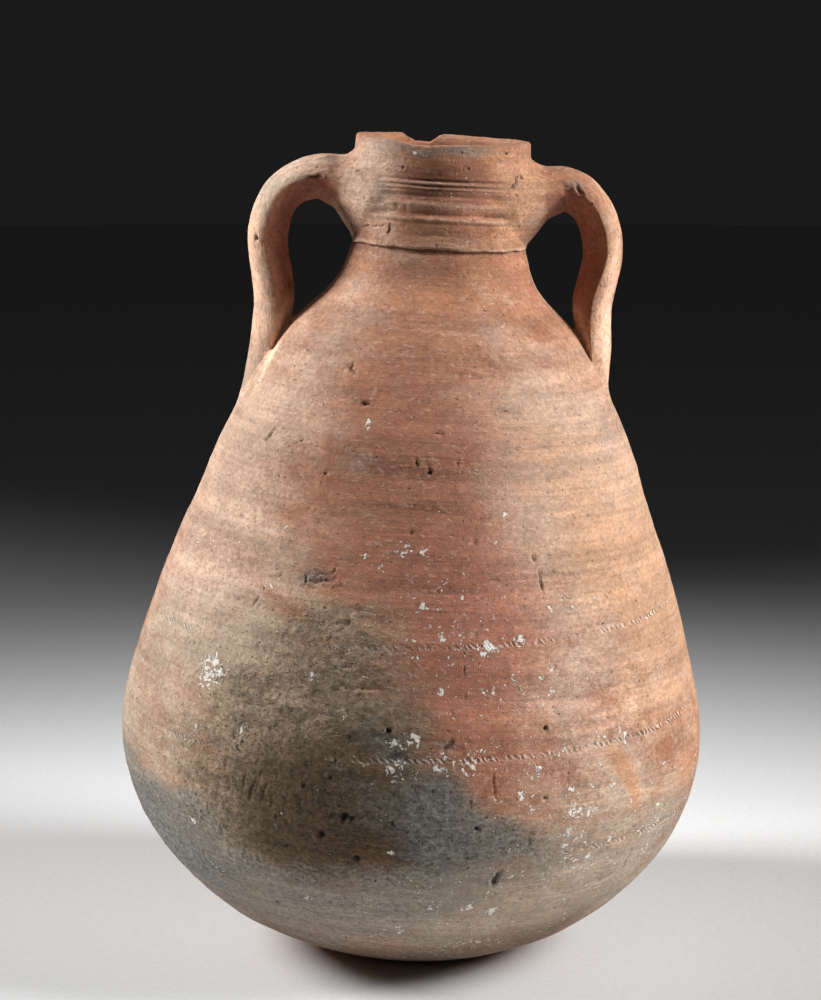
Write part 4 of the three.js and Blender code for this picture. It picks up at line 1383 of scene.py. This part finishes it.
class FiredClay:
    """Unglazed clay, painted in layers on the bare skin."""

    def __init__(self, graph):
        self.graph = graph
        self.place = graph.place("place")
        round_wheel = graph.scaled(self.place, (0.03, 0.03, 1.0))
        self.mottle = graph.noise(self.place, 34, 4, 0.6)
        self.cloud = graph.noise(graph.scaled(self.place, (0.5, 0.5, 1.0)), 9, 4, 0.65)
        self.grain = graph.noise(self.place, 0.8, 3, 0.65)
        self.speckle = graph.noise(graph.scaled(self.place, (0.7, 0.7, 1.0)), 2.1, 3, 0.7)
        self.band = graph.noise(round_wheel, 15, 2, 0.5)
        self.streak = graph.noise(round_wheel, 2.6, 5, 0.65)
        self.skin = graph.mix(graph.step(self.mottle, 0.35, 0.65), CLAY_BROWN, CLAY_TAN)

    def paint(self, share, tint, strength=1.0):
        self.skin = self.graph.mix(self.graph.math("MULTIPLY", share, strength), self.skin, tint)

    def swing(self, ripple, amount, base):
        """A base moved up and down by a noise."""
        return self.graph.math("MULTIPLY_ADD", self.graph.math("SUBTRACT", ripple, 0.5), amount, base)

    def zone(self, name, spread=0.35):
        """Share of a fired colour, with its edge broken up."""
        ragged = self.graph.value(name)
        for ripple, amount in ((self.mottle, 1.0), (self.cloud, 0.8), (self.speckle, 0.7)):
            ragged = self.swing(ripple, amount * spread, ragged)
        return self.graph.step(ragged, 0.05, 0.95)

    def fire(self):
        """Clouds of the firing, from the pale ones to the soot, partly painted light: sheen and highlight
        on the lit sides and handles, shade on the neck's front, and highlights on the neck's ridges and
        the roll's edge.
        """
        graph = self.graph
        # Light fired colours; the pale, whitish and pink ones are partly painted sheen and highlight of
        # the side lamps
        for name, tint in (("pale", PALE_AND_SHEEN), ("orange", ORANGE), ("chalk", CHALK_AND_HIGHLIGHT), ("blush", BLUSH_HIGHLIGHT)):
            self.paint(self.zone(name, 0.5), tint)
        red = self.zone("red", 0.4)
        self.paint(red, RED)
        smoky = graph.math("MULTIPLY", self.zone("smoke", 0.4), graph.step(self.streak, 0.40, 0.62))
        self.paint(smoky, SMOKE, 0.72)
        self.paint(self.zone("beige", 0.5), BEIGE, 0.9)
        self.paint(self.zone("rust", 0.5), RUST, 0.8)
        dust = graph.step(graph.noise(self.place, 24, 4, 0.65), 0.5, 0.75, 0.0, 0.4)
        self.paint(dust, DUST, graph.math("MULTIPLY_ADD", red, -0.7, 1.0))
        olive, umber, soot = self.zone("olive", 0.45), self.zone("umber"), self.zone("soot", 0.5)
        self.paint(olive, graph.mix(graph.step(self.cloud, 0.35, 0.65), OLIVE, DRAB))
        self.paint(umber, UMBER)
        self.paint(self.zone("grey"), GREY, 0.85)
        self.paint(soot, SOOT, 0.9)
        # Painted highlight on the tops of the neck's ridges and the roll's lower edge
        self.paint(graph.value("ridge"), CHALK_AND_HIGHLIGHT, 0.55)
        self.rough = graph.math("MAXIMUM", graph.math("MAXIMUM", olive, umber), soot)

    def shade(self):
        """Lighter and darker rings, streaks and grain."""
        graph = self.graph
        coarse = graph.math("MULTIPLY", graph.math("SUBTRACT", self.speckle, 0.5), self.rough)
        shade = graph.math("MULTIPLY_ADD", coarse, 1.6, graph.step(self.band, 0.3, 0.7, 0.86, 1.12))
        ripples = ((self.streak, 0.12), (self.cloud, 0.12), (self.speckle, 0.18), (self.grain, 0.14))
        for ripple, amount in ripples:
            shade = graph.math("MULTIPLY", shade, graph.step(ripple, 0.3, 0.7, 1 - amount, 1 + amount))
        tone = graph.add("ShaderNodeCombineColor", {0: shade, 1: shade, 2: shade}).outputs[0]
        self.skin = graph.mix(1.0, self.skin, tone, "MULTIPLY")

    def wear(self):
        """Pocks, lumps and pits, the pressed cord and the broken lip, with painted shade in the pocks,
        pits, cord dents and hollows, and painted highlight on the cord's beads and, with some dust, on
        the lumps.
        """
        graph, rough = self.graph, self.rough
        squat = graph.scaled(self.place, (0.6, 0.6, 1.0))
        pock_edge = graph.math("MULTIPLY_ADD", rough, 0.05, 0.34)
        pock_gap = graph.math("SUBTRACT", pock_edge, graph.noise(squat, 2.2, 2, 0.5))
        self.pock = graph.step(pock_gap, 0.0, 0.05)
        lump_gap = graph.math("SUBTRACT", graph.noise(squat, 2.7, 2, 0.5), 0.60)
        self.lump = graph.step(lump_gap, 0.0, 0.08)
        pit_gap = graph.math("MULTIPLY_ADD", rough, -0.04, graph.noise(self.place, 3.1, 1.5))
        self.pit = graph.step(pit_gap, 0.255, 0.22)
        self.dash, self.bead = cord_dashes(graph, self.place)
        self.paint(graph.value("fresh"), FRESH)
        # Painted shade in the pocks
        self.paint(self.pock, HOLLOW_SHADE, 0.3)
        # Light flecks on the lumps: dust and painted highlight
        self.paint(self.lump, CHALK_AND_HIGHLIGHT, graph.math("MULTIPLY_ADD", rough, -0.12, 0.20))
        # Painted highlight on the cord's raised beads
        self.paint(self.bead, LIME_AND_BEAD_HIGHLIGHT, 0.5)
        # Painted shade in the cord's dents, the pits, and the cuts and grooves
        pressed = graph.math("MULTIPLY", self.dash, 0.45)
        dent_shade = graph.math("MAXIMUM", graph.math("MULTIPLY", self.pit, 0.8), pressed)
        hollow = self.swing(self.grain, 1.0, graph.value("hollow"))
        self.paint(graph.math("MAXIMUM", dent_shade, graph.step(hollow, 0.55, 1.25, 0.0, 0.85)), HOLLOW_SHADE)

    def encrust(self):
        """Crumbs and dots of lime, with painted shade at their edges."""
        graph = self.graph
        lime = graph.value("lime")
        crumb_edge = graph.math("MULTIPLY_ADD", lime, -0.30, 0.745)
        dot_edge = graph.math("MULTIPLY_ADD", lime, -0.25, 0.79)
        crumbs = graph.math("SUBTRACT", graph.noise(self.place, 3.4, 4, 0.7), crumb_edge)
        dots = graph.math("SUBTRACT", graph.noise(self.place, 1.7, 2, 0.5), dot_edge)
        within = graph.math("MAXIMUM", self.swing(self.grain, 0.16, crumbs), dots)
        # Painted shade round the crumbs and dots
        self.paint(graph.step(within, -0.05, 0.0, 0.0, 0.25), HOLLOW_SHADE)
        self.crust = graph.step(within, 0.0, 0.03)
        self.paint(self.crust, graph.mix(self.speckle, DULL_LIME, LIME_AND_BEAD_HIGHLIGHT), 0.95)

    def normal(self):
        """The normal bent by grain, streaks and wear, whose heights are in millimetres."""
        graph, rough = self.graph, self.rough
        pock_depth = graph.math("MULTIPLY_ADD", rough, -0.5, -0.28)
        lump_height = graph.math("MULTIPLY_ADD", rough, 0.35, 0.16)
        height = self.swing(self.streak, 0.4, self.swing(self.grain, 0.35, 0.0))
        marks = (
            (self.pock, pock_depth), (self.lump, lump_height), (self.pit, -0.6),
            (self.dash, -0.8), (self.bead, 0.3), (self.crust, 0.4),
        )
        for mark, rise in marks:
            height = graph.math("MULTIPLY_ADD", mark, rise, height)
        inputs = {"Strength": 1.0, "Distance": MM, "Height": height}
        return graph.add("ShaderNodeBump", inputs).outputs["Normal"]


def fired_clay():
    """The jar's material: fired clouds, wheel streaks, grit, pits, a pressed cord and lime crust, with
    painted highlight and sheen on lit parts and painted shade in hollows.
    """
    material = bpy.data.materials.new("fired_clay")
    material.use_nodes = True
    graph = Graph(material.node_tree)
    clay = FiredClay(graph)
    clay.fire()
    clay.shade()
    clay.wear()
    clay.encrust()
    inputs = material.node_tree.nodes["Principled BSDF"].inputs
    graph.feed(inputs["Base Color"], clay.skin)
    graph.feed(inputs["Roughness"], graph.step(clay.grain, 0.3, 0.7, 0.86, 0.97))
    graph.feed(inputs["Normal"], clay.normal())
    graph.feed(inputs["Specular IOR Level"], 0.3)
    graph.feed(inputs["Sheen Weight"], 0.05)
    graph.feed(inputs["Sheen Roughness"], 0.6)
    return material


def cord_dashes(graph, place):
    """Dents that the cord's strands left along its line, and the beads of clay between them."""
    off = graph.value("cord_off")
    along = graph.math("MULTIPLY_ADD", off, 0.9, graph.value("cord_arc"))
    uneven = graph.math("MULTIPLY_ADD", graph.noise(place, 6, 2), 7.0, along)
    strand = graph.math("SINE", graph.math("MULTIPLY", uneven, 2 * np.pi / DASH_PITCH))
    beside = graph.step(graph.math("ABSOLUTE", off), 1.9, 0.7)
    near = graph.math("MULTIPLY", beside, graph.value("cord"))
    near = graph.math("MULTIPLY", near, graph.step(graph.noise(place, 5, 3), 0.38, 0.6))
    dash = graph.math("MULTIPLY", near, graph.step(strand, 0.1, 0.8))
    bead = graph.math("MULTIPLY", near, graph.step(strand, -0.3, -0.9))
    return dash, bead


def pale_floor():
    """Matt pale paper for the jar to stand on."""
    material = bpy.data.materials.new("pale_floor")
    material.use_nodes = True
    graph = Graph(material.node_tree)
    inputs = material.node_tree.nodes["Principled BSDF"].inputs
    place = graph.add("ShaderNodeTexCoord").outputs["Object"]
    tooth = graph.noise(place, 0.004, 3)
    tint = graph.mix(graph.step(tooth, 0.3, 0.7), colour(0.70, 0.70, 0.70), colour(0.74, 0.74, 0.74))
    graph.feed(inputs["Base Color"], tint)
    graph.feed(inputs["Roughness"], 0.75)
    return material


# Stage

FLOOR_RADIUS = 6.0
LAMP_AIM = (0, 0, 0.26)
# Soft lamps: name, place in metres, watts, size in metres and spread in degrees
LAMPS = [
    ("left_softbox", (-1.5, 0.12, 1.15), 5.5, (0.6, 0.8), 52),
    ("right_softbox", (1.38, -0.32, 1.06), 5.5, (0.8, 0.8), 52),
    ("front_fill", (0.3, -1.1, 2.1), 0.8, (1.6, 1.0), 120),
]
WORLD_TINT = (0.86, 0.87, 0.88)
WORLD_STRENGTH = 0.012


def lay_floor():
    mesh = bpy.data.meshes.new("floor")
    turns = np.linspace(0, 2 * np.pi, 96, endpoint=False)
    rim = [(FLOOR_RADIUS * np.cos(t), FLOOR_RADIUS * np.sin(t), 0) for t in turns]
    mesh.from_pydata(rim, [], [list(range(len(rim)))])
    mesh.materials.append(pale_floor())
    floor = bpy.data.objects.new("floor", mesh)
    bpy.context.scene.collection.objects.link(floor)


def hang_light(name, place, watts, size, spread):
    lamp = bpy.data.lights.new(name, "AREA")
    lamp.shape = "RECTANGLE"
    lamp.size, lamp.size_y = size
    lamp.energy = watts
    lamp.spread = np.radians(spread)
    light = bpy.data.objects.new(name, lamp)
    light.location = place
    aim = Vector(LAMP_AIM) - Vector(place)
    light.rotation_euler = aim.to_track_quat("-Z", "Y").to_euler()
    light.visible_camera = False
    bpy.context.scene.collection.objects.link(light)


def light_stage():
    for lamp in LAMPS:
        hang_light(*lamp)
    world = bpy.data.worlds.new("studio")
    world.use_nodes = True
    background = world.node_tree.nodes["Background"]
    background.inputs["Color"].default_value = colour(*WORLD_TINT)
    background.inputs["Strength"].default_value = WORLD_STRENGTH
    bpy.context.scene.world = world
    bpy.context.scene.view_settings.view_transform = "Standard"


def place_camera():
    data = bpy.data.cameras.new("camera")
    data.sensor_width = SENSOR_MM
    data.lens = FOCAL_PIXELS * SENSOR_MM / max(PHOTO_WIDTH, PHOTO_HEIGHT)
    camera = bpy.data.objects.new("camera", data)
    right = np.cross(CAMERA_WAY, CAMERA_UP)
    turned = Matrix(np.column_stack([right, CAMERA_UP, -CAMERA_WAY]).tolist()).to_4x4()
    camera.matrix_world = Matrix.Translation(Vector(CAMERA_PLACE * MM)) @ turned
    bpy.context.scene.collection.objects.link(camera)
    bpy.context.scene.camera = camera


def build_jar():
    clay = fired_clay()
    for node, *made in body_pieces():
        piece = make_piece(node + "_clay", *made)
        if node == "base_disc":
            rest_on_floor(piece)
        piece.data.materials.append(clay)
        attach(piece, "root")
        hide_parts(node)


def rest_on_floor(piece):
    """The base worn flat where it stands."""
    places = np.zeros(3 * len(piece.data.vertices), np.float32)
    piece.data.vertices.foreach_get("co", places)
    places[2::3] = np.maximum(places[2::3], 0)
    piece.data.vertices.foreach_set("co", places)
    piece.data.update()


place_camera()
lay_floor()
light_stage()
build_jar()
